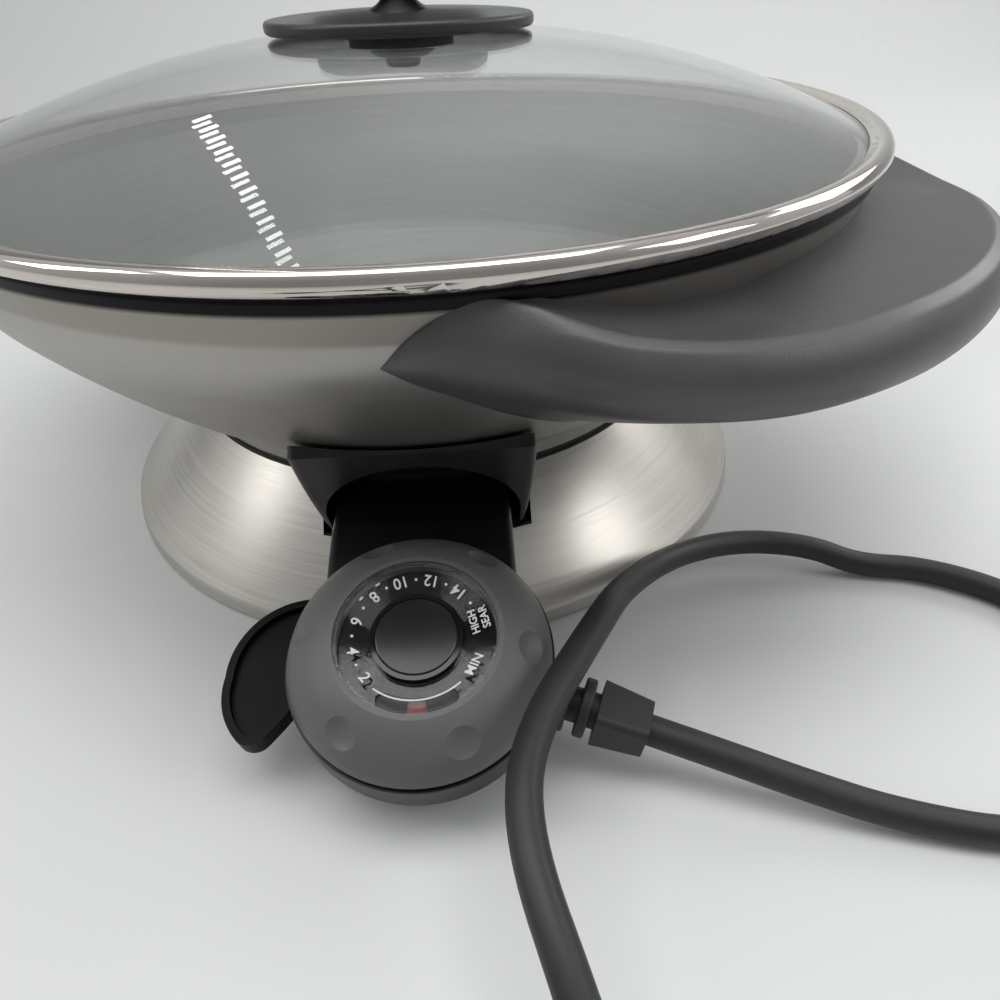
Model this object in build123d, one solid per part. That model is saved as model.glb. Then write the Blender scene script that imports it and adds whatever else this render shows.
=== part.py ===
"""Electric wok: a cast bowl on a flared steel stand, with a glass lid and a plug-in heat control.

Millimetres, +Z up. The origin is on the bowl's axis, on the surface that the stand rests on.
The heat control plugs in along +Y from the front, so the front of the object faces -Y.
"""
from build123d import *
from math import atan2, cos, degrees, hypot, pi, radians, sin, sqrt, tan
import os

os.makedirs("parts", exist_ok=True)

# ---------------------------------------------------------------- driving dimensions
clearance = 0.3  # between pieces that only lie near each other
running_fit = 0.05  # radial play of a shaft in its bore
press_fit = 0.02  # radial play of a piece that is held fast in its bore

# cast bowl
bowl_foot_radius = 108.0
bowl_foot_height = 49.6  # underside of the foot ring above the table
bowl_foot_width = 7.0
bowl_foot_rise = 5.9  # height of the foot's tapered band
bowl_belly_slope = 37.0  # degrees from level, where the belly leaves the foot
bowl_shoulder_slope = 53.0
bowl_brow_slope = 81.0
bowl_brow_radius = 174.9  # where the belly meets the upright band
bowl_brow_height = 131.9
bowl_lip_radius = 178.3
bowl_band_top = 141.5
bowl_lip_top = 144.8
bowl_wall = 3.8
bowl_underside = 52.0
bowl_floor = 56.0

# lid
glass_radius = 176.5  # where the dome's curve comes down to its edge height
glass_edge_height = 148.6
glass_edge_radius = 174.6  # the ground edge of the glass, inside the steel band
glass_rise = 33.6  # from the glass's edge to its outer apex
glass_dome_power = 2.2
glass_thickness = 3.6
dome_stations = (0.0, 0.25, 0.5, 0.75, 0.9, 1.0)
rim_outer_radius = 180.0
rim_bulge = 1.6
rim_bottom = bowl_lip_top + clearance
rim_crest = 151.6
rim_inner_radius = 173.6
rim_skirt_radius = 169.6
rim_skirt_depth = 5.0
rim_sheet = 0.9

# lid knob
knob_wing_half_length = 51.0
knob_wing_half_width = 45.0
knob_wing_gap = 1.2  # between the wing and the dome that it hugs
knob_wing_thickness = 4.6
knob_wing_round = 1.7
knob_post_levels = (  # height over the wing's foot, size along and across the grip
    (0.8, 30.0, 46.0), (3.3, 20.0, 39.0), (5.3, 14.0, 31.5), (7.5, 11.5, 25.0), (14.0, 11.0, 22.0),
)
knob_grip_length = 70.0
knob_grip_width = 32.0
knob_grip_height = 17.5
knob_grip_rise = 7.5  # underside of the grip over the wing's foot
knob_screw_radius = 3.0
vent_washer_radius = 17.4
vent_washer_height = 3.0
lower_washer_radius = 20.0
lower_washer_height = 3.0
lower_washer_gap = 0.5
collar_radii = (12.5, 9.5)
collar_height = 3.0
nut_radius = 6.8
nut_height = 3.5
vent_hole_radius = 2.0
vent_hole_place = 9.0

# stand
stand_top_radius = bowl_foot_radius + 0.1
stand_top_height = 46.2
stand_crease_radius = 146.7
stand_crease_height = 6.1
stand_hem_radius = 147.6
stand_hem_bottom = 1.0
stand_sheet = 1.2
frame_deck_bottom = 36.0
frame_deck_top = 39.5
frame_wall = 2.6
frame_rib_count = 8
frame_floor_ring_top = 9.0
foot_ring_height = 3.0
foot_ring_inner = 134.0
foot_ring_outer = 144.0
hub_radius = 26.0
lock_spindle_radius = 6.0
lock_knob_radius = 22.0
lock_knob_height = 9.0
lock_knob_bottom = 5.0
lock_bar_length = 21.0
lock_bar_width = 8.0
lock_bar_height = 2.6
lock_cup_radius = 15.0
lock_cup_floor = 2.4

# heating element and its socket
element_tube_radius = 3.5
element_half_span = 74.0
element_front = -64.0
element_waist = 28.0
socket_height = 40.0  # height of the pins and of the sensing rod
pin_spacing = 30.0
pin_radius = 2.4
pin_length = 18.0
guide_outer_radius = 4.2
guide_wall = 0.7
guide_back = -46.0
hood_half_width_top = 38.4
hood_half_width_middle = 39.2
hood_half_width_bottom = 36.8
hood_bottom = 30.0
hood_bottom_front = -117.0
hood_top_front = -143.0
hood_top = 81.0
hood_back = -96.0
hood_mouth_half_width = 35.0
hood_mouth_spring = 42.0  # where the mouth's upright sides turn into its arch
hood_gap_to_bowl = 1.6
hood_mouth_top = 73.0
hood_socket_wall = 6.0

# handles
handle_azimuth = 52.0  # degrees from the front, towards +X
handle_reach = 222.5
handle_arc_radius = 138.5
handle_top_draw = 5.0  # how far the top edge stands inside the widest level
handle_bottom_draw = 8.0
handle_widest_height = 124.0
handle_crown = ((137.0, 4.8), (146.0, 14.0))  # (height, draw) pairs
handle_bottom_level = 106.0
handle_tip_half_span = 134.4
handle_tip_height = 121.5
handle_nose_height = 144.0
handle_root_depth = 84.0  # lowest point of the root against the bowl
handle_dish_edge = 132.0  # height of the outer crease at the middle of the handle
handle_inner_edge = 135.5  # height of the dished top where it meets the bowl's band
handle_inner_swell = 6.9
handle_swell_half = 122.0
handle_flat_half = 88.0
handle_nose_radius = 58.5
handle_lip_height = 109.8
handle_lip_radius = 175.0
handle_end_turn = 82.0  # degrees from the handle's middle to the ends of the dish
handle_overrun = 12.0
bracket_sheet = 2.5
bracket_half_width = 28.0
bracket_reach = bowl_brow_radius + 23.1
bracket_level = 113.0  # underside of the lug's level tongue
handle_screw_place = 16.0
handle_screw_inset = 9.0  # from the tongue's end
handle_screw_radius = 2.5
handle_screw_head = 4.4
handle_screw_head_height = 2.4
handle_screw_seat = 106.0
handle_screw_end = 124.0

# heat control (probe); its round pod and dial are tilted towards the front
dial_radius = 39.4
dial_tilt = 16.8
dial_front = -186.0
dial_height = 38.0
dial_rise = 13.6
dial_window_radius = 23.7
dial_cap_radius = 13.4
dial_skin = 2.2
dial_dimple_count = 6
dial_dimple_radius = 4.0
dial_dimple_place = 32.6
dial_dimple_depth = 0.8
dial_shaft_radius = 4.0
pod_radius = 40.2
pod_top = -1.2
pod_split = -9.3
pod_bottom = -21.0
pod_corner = 9.0
pod_wall = 2.4
pod_boss_radius = 22.6
pod_boss_top = 8.0
neck_half_width = 31.0
neck_top = 49.4
neck_round = 3.0
neck_bottom = 31.2
nose_back = -104.6
rod_radius = 3.2
rod_front = -113.0
rod_back = -56.0
contact_wall = 1.0

# release lever, beside and under the dial
lever_pivot = (-25.0, 18.0)
lever_top = -8.0
lever_bottom = -15.0
lever_rim = 2.4
lever_floor = 4.6
lever_pin_radius = 2.5
lever_travel = 10.0
spring_radius = 4.1
spring_wire = 0.4
spring_pitch = 1.0

# cord
cord_diameter = 9.3
relief_root = (36.4, -192.7, 24.0)  # where the bend relief's axis leaves the pod's wall
relief_turn = -21.0  # degrees from +X, seen from above
relief_dip = 9.0  # degrees below level
relief_disc_starts = (4.8, 11.3)
relief_disc_width = 3.4
sleeve_start = 16.9
relief_disc_radius = 9.0
relief_core_radius = 5.4
sleeve_length = 15.4
sleeve_start_width = 16.4
sleeve_end_width = 14.0
coil_mean_diameter = 105.0
coil_centre = (6.0, -364.0)
coil_bundle = 2  # turns side by side, and as many on top of each other
tie_azimuth = 70.0
tie_width = 9.0
tie_sheet = 1.0

# plug
plug_boot = 10.0
plug_length = 30.0
plug_width = 26.0
plug_height = 25.0
blade_length = 17.5
blade_spacing = 12.7
ground_offset = 11.9


# ---------------------------------------------------------------- shared helpers
def turned(points):
    """A body of revolution about Z, from its half section given as (radius, height) points."""
    return revolve(make_face(Polyline(*[(r, 0, z) for r, z in points], close=True)), Axis.Z)


def across(points, half_width):
    """A slab between x = -half_width and x = +half_width, with the given (y, z) side outline."""
    side = make_face(Polyline(*[(0, y, z) for y, z in points], close=True))
    return extrude(side, half_width, dir=(1, 0, 0), both=True)


def along(points, start, end):
    """A slab between two y values, with the given (x, z) front outline."""
    front = make_face(Polyline(*[(x, start, z) for x, z in points], close=True))
    return extrude(front, end - start, dir=(0, 1, 0))


def rod_y(radius, start, end, x, z):
    """A round rod along Y."""
    return Pos(x, (start + end) / 2, z) * Rot(90, 0, 0) * Cylinder(radius, end - start)


def post(radius, bottom, top, x=0.0, y=0.0):
    """A round post along Z between two heights."""
    return Pos(x, y, (bottom + top) / 2) * Cylinder(radius, top - bottom)


def block(x0, x1, y0, y1, z0, z1):
    """A box between two corners."""
    return Pos((x0 + x1) / 2, (y0 + y1) / 2, (z0 + z1) / 2) * Box(x1 - x0, y1 - y0, z1 - z0)


def polar(count, shape, start=0.0):
    """Copies of a shape at equal turns about Z."""
    return [Rot(0, 0, start + 360.0 / count * i) * shape for i in range(count)]


def save(name, *pieces):
    """Writes one node; several pieces become a group of separate solids."""
    shape = pieces[0] if len(pieces) == 1 else Compound(children=list(pieces))
    export_step(shape, f"parts/{name}.step")


def outer_edges(shape, radius, height, band=0.05):
    """The circular edges of a turned body at one radius and height."""
    return [
        e for e in shape.edges().filter_by(GeomType.CIRCLE)
        if abs(e.radius - radius) < band and abs(e.center().Z - height) < band
    ]


# ---------------------------------------------------------------- bowl
def bowl_belly(offset):
    """Two tangent arcs from the foot's crease to the brow, moved inwards by an offset.

    Their radii are worked out so that the pair ends on the brow.
    """
    crease = (bowl_foot_radius + bowl_foot_rise / 4, bowl_foot_height + bowl_foot_rise)
    a, b, c = (radians(v) for v in (bowl_belly_slope, bowl_shoulder_slope, bowl_brow_slope))
    low = (sin(b) - sin(a), cos(a) - cos(b))
    high = (sin(c) - sin(b), cos(b) - cos(c))
    run = (bowl_brow_radius - crease[0], bowl_brow_height - crease[1])
    det = low[0] * high[1] - high[0] * low[1]
    low_radius = (run[0] * high[1] - high[0] * run[1]) / det - offset
    high_radius = (low[0] * run[1] - run[0] * low[1]) / det - offset
    start = (crease[0] - offset * sin(a), crease[1] + offset * cos(a))

    def step(origin, radius, begin, end, share=1.0):
        angle = begin + (end - begin) * share
        return (
            origin[0] + radius * (sin(angle) - sin(begin)),
            origin[1] + radius * (cos(begin) - cos(angle)),
        )

    low_mid = step(start, low_radius, a, b, 0.5)
    shoulder = step(start, low_radius, a, b)
    high_mid = step(shoulder, high_radius, b, c, 0.5)
    brow = step(shoulder, high_radius, b, c)
    return start, low_mid, shoulder, high_mid, brow


def flat(point):
    """A (radius, height) pair as a point of the XZ plane."""
    return (point[0], 0, point[1])


def belly_arcs(offset):
    """The two arcs of the belly as edges."""
    start, low_mid, shoulder, high_mid, brow = (flat(p) for p in bowl_belly(offset))
    return [ThreePointArc(start, low_mid, shoulder), ThreePointArc(shoulder, high_mid, brow)]


def make_bowl():
    """Cast bowl: foot ring, belly, upright band, rolled lip and a flat cooking floor."""
    outer = bowl_belly(0)
    inner = bowl_belly(bowl_wall)
    slope = radians(bowl_belly_slope)
    floor_corner = (inner[0][0] - (inner[0][1] - bowl_floor) / tan(slope), bowl_floor)
    reach = (inner[0][1] - bowl_floor) / sin(slope)
    foot_inner = bowl_foot_radius - bowl_foot_width
    section = [
        Polyline(
            (0, 0, bowl_floor), (0, 0, bowl_underside), (foot_inner, 0, bowl_underside),
            (foot_inner, 0, bowl_foot_height), (bowl_foot_radius, 0, bowl_foot_height), flat(outer[0]),
        ),
        *belly_arcs(0),
        Polyline(
            flat(outer[4]), (bowl_lip_radius, 0, bowl_band_top), (bowl_lip_radius, 0, bowl_lip_top),
            (bowl_lip_radius - 6.5, 0, bowl_lip_top), flat(inner[4]),
        ),
        *belly_arcs(bowl_wall),
        ThreePointArc(
            flat(inner[0]),
            (floor_corner[0] - reach * 0.12, 0, bowl_floor + reach * 0.16),
            (floor_corner[0] - reach, 0, bowl_floor),
        ),
        Line((floor_corner[0] - reach, 0, bowl_floor), (0, 0, bowl_floor)),
    ]
    bowl = revolve(make_face(section), Axis.Z)
    lip = outer_edges(bowl, bowl_lip_radius, bowl_lip_top)
    lip += outer_edges(bowl, bowl_lip_radius - 6.5, bowl_lip_top)
    return fillet(lip, 1.2)


def bowl_space(gap):
    """The bowl's outer form, grown by a gap, to cut from whatever lies against it."""
    grown = bowl_belly(-gap)
    above = bowl_lip_top + 55.2  # clear of everything that stands round the bowl
    section = [
        Polyline(
            (0, 0, above), (0, 0, bowl_foot_height - gap),
            (bowl_foot_radius + gap, 0, bowl_foot_height - gap), flat(grown[0]),
        ),
        *belly_arcs(-gap),
        Polyline(
            flat(grown[4]), (bowl_lip_radius + gap, 0, bowl_band_top - gap),
            (bowl_lip_radius + gap, 0, above), (0, 0, above),
        ),
    ]
    return revolve(make_face(section), Axis.Z)


bowl = make_bowl()


# ---------------------------------------------------------------- heating element
def make_element():
    """Tubular element: two lobes under the floor, with leads that step down to the socket."""
    level = bowl_underside - clearance - element_tube_radius
    x = pin_spacing / 2
    lead_end = hood_back + hood_socket_wall + 9
    span = element_half_span
    route = [
        (-x, lead_end, socket_height), (-x, element_front - 12, socket_height), (-x, element_front, level),
        (-span * 0.66, -52, level), (-span, -14, level), (-span * 0.72, 48, level), (-18, 52, level),
        (0, element_waist, level), (18, 52, level), (span * 0.72, 48, level), (span, -14, level),
        (span * 0.66, -52, level), (x, element_front, level), (x, element_front - 12, socket_height),
        (x, lead_end, socket_height),
    ]
    path = FilletPolyline(*route, radius=[5, 5, 14, 22, 22, 13, 11, 13, 22, 22, 14, 5, 5])
    section = Plane(origin=path @ 0, z_dir=path % 0) * Circle(element_tube_radius)
    return sweep(section, path=path), lead_end


element, lead_end = make_element()
save("heating_element", element)
pins = [
    rod_y(pin_radius, lead_end - pin_length, lead_end, side * pin_spacing / 2, socket_height)
    for side in (-1, 1)
]
save("terminal_pins", *pins)

guide_front = hood_back + hood_socket_wall
guide = rod_y(guide_outer_radius, guide_front, guide_back, 0, socket_height)
guide -= rod_y(guide_outer_radius - guide_wall, guide_front - 1, guide_back - guide_wall, 0, socket_height)
save("sensor_guide_tube", guide)
terminal_block = block(-22, 22, guide_front, guide_front + 6.5, socket_height - 7, socket_height + 7)
for x in (-pin_spacing / 2, pin_spacing / 2):
    terminal_block -= rod_y(pin_radius + press_fit, -95, -80, x, socket_height)
terminal_block -= rod_y(guide_outer_radius + press_fit, -95, -80, 0, socket_height)
save("terminal_block", terminal_block)


# ---------------------------------------------------------------- socket hood
def make_hood():
    """Moulded hood under the bowl: it shrouds the socket, and its mouth takes the control's nose."""
    side = [
        (hood_bottom_front, hood_bottom), (hood_top_front, hood_top), (hood_top_front + 20, hood_top + 14),
        (hood_back + hood_socket_wall, hood_top + 14), (hood_back + hood_socket_wall, hood_bottom),
    ]
    body = across(side, hood_half_width_top + 2)
    low, middle, top = hood_half_width_bottom, hood_half_width_middle, hood_half_width_top
    crown, waist = hood_top + 20, (hood_bottom + hood_top) / 2 + 6
    front = make_face([
        Line((-low, 0, hood_bottom), (low, 0, hood_bottom)),
        ThreePointArc((low, 0, hood_bottom), (middle, 0, waist), (top, 0, crown)),
        Line((top, 0, crown), (-top, 0, crown)),
        ThreePointArc((-top, 0, crown), (-middle, 0, waist), (-low, 0, hood_bottom)),
    ])
    front = fillet(front.vertices().group_by(Axis.Z)[0], 3.0)
    body &= extrude(front, 160, dir=(0, -1, 0))
    corners = [
        e for e in body.edges()
        if abs(e.center().X) > low - 2 and abs(e.center().Y - (hood_bottom_front + hood_top_front) / 2) < 6
    ]
    body = fillet(corners, 3.0)
    body -= bowl_space(hood_gap_to_bowl)
    mouth_side = [
        (-160, hood_bottom - 5), (-160, hood_mouth_top + 6), (-146, hood_mouth_top + 6),
        (-136, hood_mouth_top - 1), (-112, 52.5), (hood_back - 4, 52.5), (hood_back - 4, hood_bottom - 5),
    ]
    arch_half, arch_low = hood_mouth_half_width, hood_mouth_spring
    mouth = block(-arch_half, arch_half, -160, -80, hood_bottom - 5, arch_low)
    arch = Ellipse(arch_half, hood_mouth_top - arch_low)
    mouth += Pos(0, -80, arch_low) * Rot(90, 0, 0) * extrude(arch, 80)
    body -= mouth & across(mouth_side, 60)
    for x in (-pin_spacing / 2, pin_spacing / 2):
        body -= rod_y(pin_radius + contact_wall + 2 * clearance, -110, -80, x, socket_height)
    body -= rod_y(guide_outer_radius + clearance, -110, -80, 0, socket_height)
    for screw in hood_screws:
        body -= screw
    return body


hood_screw_top = bowl_underside + 2.4
hood_screws = [
    post(2.0, hood_bottom + 2, hood_screw_top, x, hood_back + hood_socket_wall / 2)
    + post(2.9, hood_bottom, hood_bottom + 2, x, hood_back + hood_socket_wall / 2)
    for x in (-33.0, 33.0)
]
save("hood_screws", *hood_screws)
save("probe_socket_hood", make_hood())
for screw in hood_screws:
    bowl -= screw
save("wok_bowl", bowl)


# ---------------------------------------------------------------- stand
stand_slope = atan2(stand_top_height - stand_crease_height, stand_crease_radius - stand_top_radius)


def stand_radius(height, inset=0.0):
    """Radius of the flared stand's outer face at a height, less an inset square to the sheet."""
    return stand_top_radius + (stand_top_height - height) / tan(stand_slope) - inset / sin(stand_slope)


def make_stand_shell():
    """Flared sheet-metal skirt with a rolled hem, notched at the front for the socket hood."""
    t = stand_sheet
    lift = t / cos(stand_slope)
    shell = turned([
        (stand_top_radius, stand_top_height),
        (stand_crease_radius, stand_crease_height),
        (stand_hem_radius, stand_hem_bottom),
        (stand_hem_radius - t, stand_hem_bottom),
        (stand_crease_radius - t, stand_crease_height - t * 0.45),
        (stand_top_radius - 0.2, stand_top_height - lift),
        (stand_top_radius - t - 0.4, stand_top_height - lift),
        (stand_top_radius - t - 0.4, stand_top_height),
    ])
    shell = fillet(outer_edges(shell, stand_crease_radius, stand_crease_height), 2.5)
    notch_half = hood_half_width_middle + clearance
    return shell - block(-notch_half, notch_half, -150, -60, hood_bottom - clearance, 60)


save("stand_shell", make_stand_shell())


def make_stand_frame():
    """Moulded frame inside the skirt: a deck under the bowl's foot, a hub, ribs and a floor ring."""
    lip_outer = stand_top_radius - stand_sheet - 0.4 - clearance
    lip_inner = bowl_foot_radius - bowl_foot_width - 1.0
    deck = turned([
        (hub_radius - frame_wall, frame_deck_bottom), (hub_radius - frame_wall, frame_deck_top),
        (lip_inner, frame_deck_top), (lip_inner, bowl_foot_height - clearance),
        (lip_outer, bowl_foot_height - clearance), (lip_outer, frame_deck_bottom),
    ])
    hub = turned([
        (lock_spindle_radius + running_fit, lock_knob_bottom + lock_knob_height + clearance),
        (lock_spindle_radius + running_fit, frame_deck_bottom - 6),
        (hub_radius - frame_wall, frame_deck_bottom - 6),
        (hub_radius - frame_wall, frame_deck_top), (hub_radius, frame_deck_top),
        (hub_radius, lock_knob_bottom + lock_knob_height + clearance),
    ])
    hub -= turned([
        (lock_spindle_radius + 4, lock_knob_bottom + lock_knob_height + 4),
        (lock_spindle_radius + 4, frame_deck_bottom - 9), (hub_radius - frame_wall, frame_deck_bottom - 9),
        (hub_radius - frame_wall, lock_knob_bottom + lock_knob_height + 4),
    ])
    ring_outer = stand_radius(frame_floor_ring_top, stand_sheet + clearance)
    floor_ring = turned([
        (foot_ring_inner - 3, foot_ring_height), (foot_ring_inner - 3, frame_floor_ring_top),
        (ring_outer, frame_floor_ring_top), (foot_ring_outer + 0.5, frame_floor_ring_top - 3.0),
        (foot_ring_outer + 0.5, foot_ring_height),
    ])
    rib_low = frame_floor_ring_top - 3
    rib_side = [
        (hub_radius - 0.5, frame_deck_bottom + 1), (lip_outer - 2, frame_deck_bottom + 1),
        (stand_radius(frame_deck_bottom, stand_sheet + 1.2), frame_deck_bottom),
        (stand_radius(rib_low, stand_sheet + 1.2), rib_low), (foot_ring_inner - 2, rib_low),
        (hub_radius - 0.5, 24),
    ]
    rib_face = make_face(Polyline(*[(r, 0, z) for r, z in rib_side], close=True))
    rib = extrude(rib_face, frame_wall / 2, dir=(0, 1, 0), both=True)
    frame = deck + hub + floor_ring
    for copy in polar(frame_rib_count, rib, 180.0 / frame_rib_count):
        frame += copy
    slot_mid = (hub_radius + lip_inner) / 2 + 8
    slot = extrude(SlotOverall(34, 7, rotation=90), 20)
    for angle in range(-150, 181, 30):
        if abs(angle + 90) > 35:
            frame -= Rot(0, 0, angle) * Pos(slot_mid, 0, frame_deck_bottom - 5) * slot
    notch_half = hood_half_width_top + 2.5
    frame -= block(-notch_half, notch_half, -150, element_front + 2, hood_bottom - 1.5, 60)
    half = guide_outer_radius + 2
    return frame - block(-half, half, -100, guide_back + 3, socket_height - half, 60)


save("stand_frame", make_stand_frame())
foot_ring = turned([
    (foot_ring_inner, 0), (foot_ring_inner, foot_ring_height),
    (foot_ring_outer, foot_ring_height), (foot_ring_outer, 0),
])
save("stand_foot_ring", foot_ring)


# ---------------------------------------------------------------- quarter-turn lock under the stand
lock_bar_bottom = bowl_underside - clearance - lock_bar_height - 1.0


def make_lock_cup():
    """Cup under the bowl's middle whose floor has a keyway for the spindle's cross bar."""
    bottom = lock_bar_bottom - clearance - lock_cup_floor
    cup = post(lock_cup_radius, bottom, bowl_underside)
    cup -= post(lock_bar_length / 2 + 1.0, bottom + lock_cup_floor, bowl_underside - 1.0)
    keyway = block(-lock_bar_width / 2 - 0.6, lock_bar_width / 2 + 0.6, -lock_bar_length / 2 - 0.8,
                   lock_bar_length / 2 + 0.8, bottom - 1, bottom + lock_cup_floor + 0.1)
    return cup - keyway - post(lock_spindle_radius + 1.0, bottom - 1, bottom + lock_cup_floor + 0.1)


def make_lock_spindle():
    """Spindle through the hub, with a cross bar that turns above the cup's floor."""
    bar_top = lock_bar_bottom + lock_bar_height
    spindle = post(lock_spindle_radius, lock_knob_bottom + lock_knob_height - 3, bar_top)
    long, wide = lock_bar_length / 2, lock_bar_width / 2 - 0.5
    return spindle + block(-long, long, -wide, wide, lock_bar_bottom, bar_top)


def make_lock_knob():
    """Round knob with a finger bar, recessed under the stand."""
    top = lock_knob_bottom + lock_knob_height
    knob = post(lock_knob_radius, lock_knob_bottom, top)
    knob = fillet(outer_edges(knob, lock_knob_radius, lock_knob_bottom), 1.5)
    for side in (-1, 1):
        knob -= Pos(0, side * 15.0, lock_knob_bottom) * Box(34, 18, 11) & post(lock_knob_radius - 2, 0, top)
    return knob - post(lock_spindle_radius, top - 3, top + 1)


save("lock_cup", make_lock_cup())
save("lock_spindle", make_lock_spindle())
save("lock_knob", make_lock_knob())


# ---------------------------------------------------------------- lid
dome_low = glass_edge_height - 1.0  # cuts through the dome run between these two heights
dome_high = glass_edge_height + 2 * glass_rise


def dome(radius, drop=0.0):
    """Height of the glass dome at a radius: a shallow crown that steepens towards its edge."""
    share = (radius / glass_radius) ** glass_dome_power
    return glass_edge_height + glass_rise * (1 - share) - drop


def dome_curve(drop):
    """The dome's half section from the axis to its edge."""
    radii = [glass_edge_radius * share for share in dome_stations]
    points = [(radius, 0, dome(radius, drop)) for radius in radii]
    edge_share = (glass_edge_radius / glass_radius) ** (glass_dome_power - 1)
    fall = glass_rise * glass_dome_power / glass_radius * edge_share
    return Spline(*points, tangents=[(1, 0, 0), (1, 0, -fall)])


def make_glass():
    """Tempered dome with a hole for the knob's screw and a small vent hole beside it."""
    top = dome_curve(0)
    under = dome_curve(glass_thickness)
    glass = revolve(make_face([top, Line(top @ 1, under @ 1), under, Line(under @ 0, top @ 0)]), Axis.Z)
    glass -= post(knob_screw_radius + running_fit, dome_low, dome_high)
    return glass - post(vent_hole_radius, dome_low, dome_high, 0, vent_hole_place)


def make_rim():
    """Rolled steel band round the glass: bulged wall, crest, a slot, and a skirt inside the bowl's lip."""
    r = rim_outer_radius
    t = rim_sheet
    slot = glass_edge_radius + clearance
    ledge = dome(glass_edge_radius, glass_thickness) - 0.1
    skirt_low = rim_bottom - rim_skirt_depth
    lap = (rim_inner_radius, 0, dome(rim_inner_radius) + 0.15)
    section = [
        Line((r - 1.2, 0, rim_bottom), (r, 0, rim_bottom + 0.6)),
        ThreePointArc(
            (r, 0, rim_bottom + 0.6), (r + rim_bulge, 0, rim_bottom + 3.0), (r - 3.6, 0, rim_crest),
        ),
        ThreePointArc((r - 3.6, 0, rim_crest), (rim_inner_radius + 1.1, 0, rim_crest - 0.5), lap),
        Polyline(
            lap, (slot, 0, dome(glass_edge_radius) + 0.15), (slot, 0, ledge), (rim_skirt_radius, 0, ledge),
            (rim_skirt_radius, 0, skirt_low), (rim_skirt_radius + t, 0, skirt_low),
            (rim_skirt_radius + t, 0, rim_bottom), (r - 1.2, 0, rim_bottom),
        ),
    ]
    return revolve(make_face(section), Axis.Z)


save("lid_glass", make_glass())
save("lid_rim", make_rim())

glass_top = dome(0)
glass_under = glass_top - glass_thickness


def make_vent_washer():
    """Washer between the knob and the glass, hollowed to the crown, with a slot over the vent hole."""
    body = post(vent_washer_radius, glass_top - 1.5, glass_top + vent_washer_height - clearance)
    crown = [(r, 0, dome(r, -0.15)) for r in (0, 12, 24)]
    body -= revolve(make_face([
        Spline(*crown, tangents=[(1, 0, 0), (1, 0, (crown[2][2] - crown[1][2]) / 12)]),
        Polyline(crown[2], (24, 0, glass_top - 9), (0, 0, glass_top - 9), crown[0]),
    ]), Axis.Z)
    body -= post(knob_screw_radius + running_fit, dome_low, dome_high)
    return body - Pos(0, vent_hole_place, dome_low) * extrude(SlotOverall(9, 4.2), dome_high - dome_low)


save("lid_vent_washer", make_vent_washer())
lower_washer_top = glass_under - lower_washer_gap
nut_top = lower_washer_top - lower_washer_height - clearance / 2
nut_bottom = nut_top - collar_height - nut_height


def make_lower_washer():
    """Soft washer under the glass, bored for the screw and open below the vent hole."""
    washer = post(lower_washer_radius, lower_washer_top - lower_washer_height, lower_washer_top)
    washer -= post(knob_screw_radius + running_fit, dome_low, dome_high)
    return washer - post(vent_hole_radius, dome_low, dome_high, 0, vent_hole_place)


def make_nut():
    """Capped nut with a coned collar, blind from below, on the knob's screw."""
    wide, narrow = collar_radii
    collar_bottom = nut_top - collar_height
    nut = turned([
        (0, nut_top), (wide - 3.5, nut_top), (wide - 3.5, nut_top - 1.2), (wide, nut_top - 1.2),
        (narrow, collar_bottom), (nut_radius, collar_bottom), (nut_radius, nut_bottom), (0, nut_bottom),
    ])
    nut = fillet(outer_edges(nut, nut_radius, nut_bottom), 2.4)
    return nut - post(knob_screw_radius, nut_bottom + 1.4, nut_top + 1)


save("lid_lower_washer", make_lower_washer())
save("lid_nut", make_nut())


# ---------------------------------------------------------------- lid knob
wing_low = glass_top + vent_washer_height


def dome_body(low, high, radius):
    """A body between two copies of the dome's curve, raised by two amounts, out to a radius."""
    places = [radius * share for share in (0.0, 0.35, 0.7, 1.0)]
    under, top = ([(r, 0, dome(r, -rise)) for r in places] for rise in (low, high))
    return revolve(make_face([
        Spline(*under), Line(under[-1], top[-1]), Spline(*top), Line(top[0], under[0]),
    ]), Axis.Z)


def make_knob_wing():
    """Broad oval foot of the knob: it follows the dome at a small gap, with rounded edges."""
    body = dome_body(knob_wing_gap, knob_wing_gap + knob_wing_thickness, knob_wing_half_length + 6)
    plan = Ellipse(knob_wing_half_length, knob_wing_half_width)
    body &= Pos(0, 0, dome_low) * extrude(plan, dome_high - dome_low)
    rims = [e for e in body.edges() if e.length > 4 * knob_wing_half_width]
    body = fillet(rims, knob_wing_round)
    body -= post(vent_washer_radius + 2 * clearance, dome_low, wing_low)
    return body - post(knob_screw_radius, dome_low, dome_high)


def make_knob_post():
    """Flared post between the foot and the grip, an oval that is widest across the grip."""
    rings = [Pos(0, 0, wing_low + rise) * Ellipse(along_x / 2, along_y / 2)
             for rise, along_x, along_y in knob_post_levels]
    return loft(rings)


def make_knob_grip():
    """Long, well rounded grip on top of the post."""
    pill = extrude(SlotOverall(knob_grip_length, knob_grip_width), knob_grip_height)
    pill = fillet(pill.edges().group_by(Axis.Z)[-1], knob_grip_height * 0.5)
    pill = fillet(pill.edges().group_by(Axis.Z)[0], knob_grip_height * 0.38)
    return Pos(0, 0, wing_low + knob_grip_rise) * pill


wing = make_knob_wing()
grip = make_knob_grip()
screw = post(knob_screw_radius, nut_bottom + 1.6, wing_low + knob_grip_rise)
save("knob_wing", wing)
save("knob_post", make_knob_post() - wing - grip - screw)
save("knob_grip", grip - screw)
save("knob_screw", screw)


# ---------------------------------------------------------------- handles
# Built pointing along +X with its middle on the X axis, then turned to its azimuth.
handle_centre = handle_reach - handle_arc_radius


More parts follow.
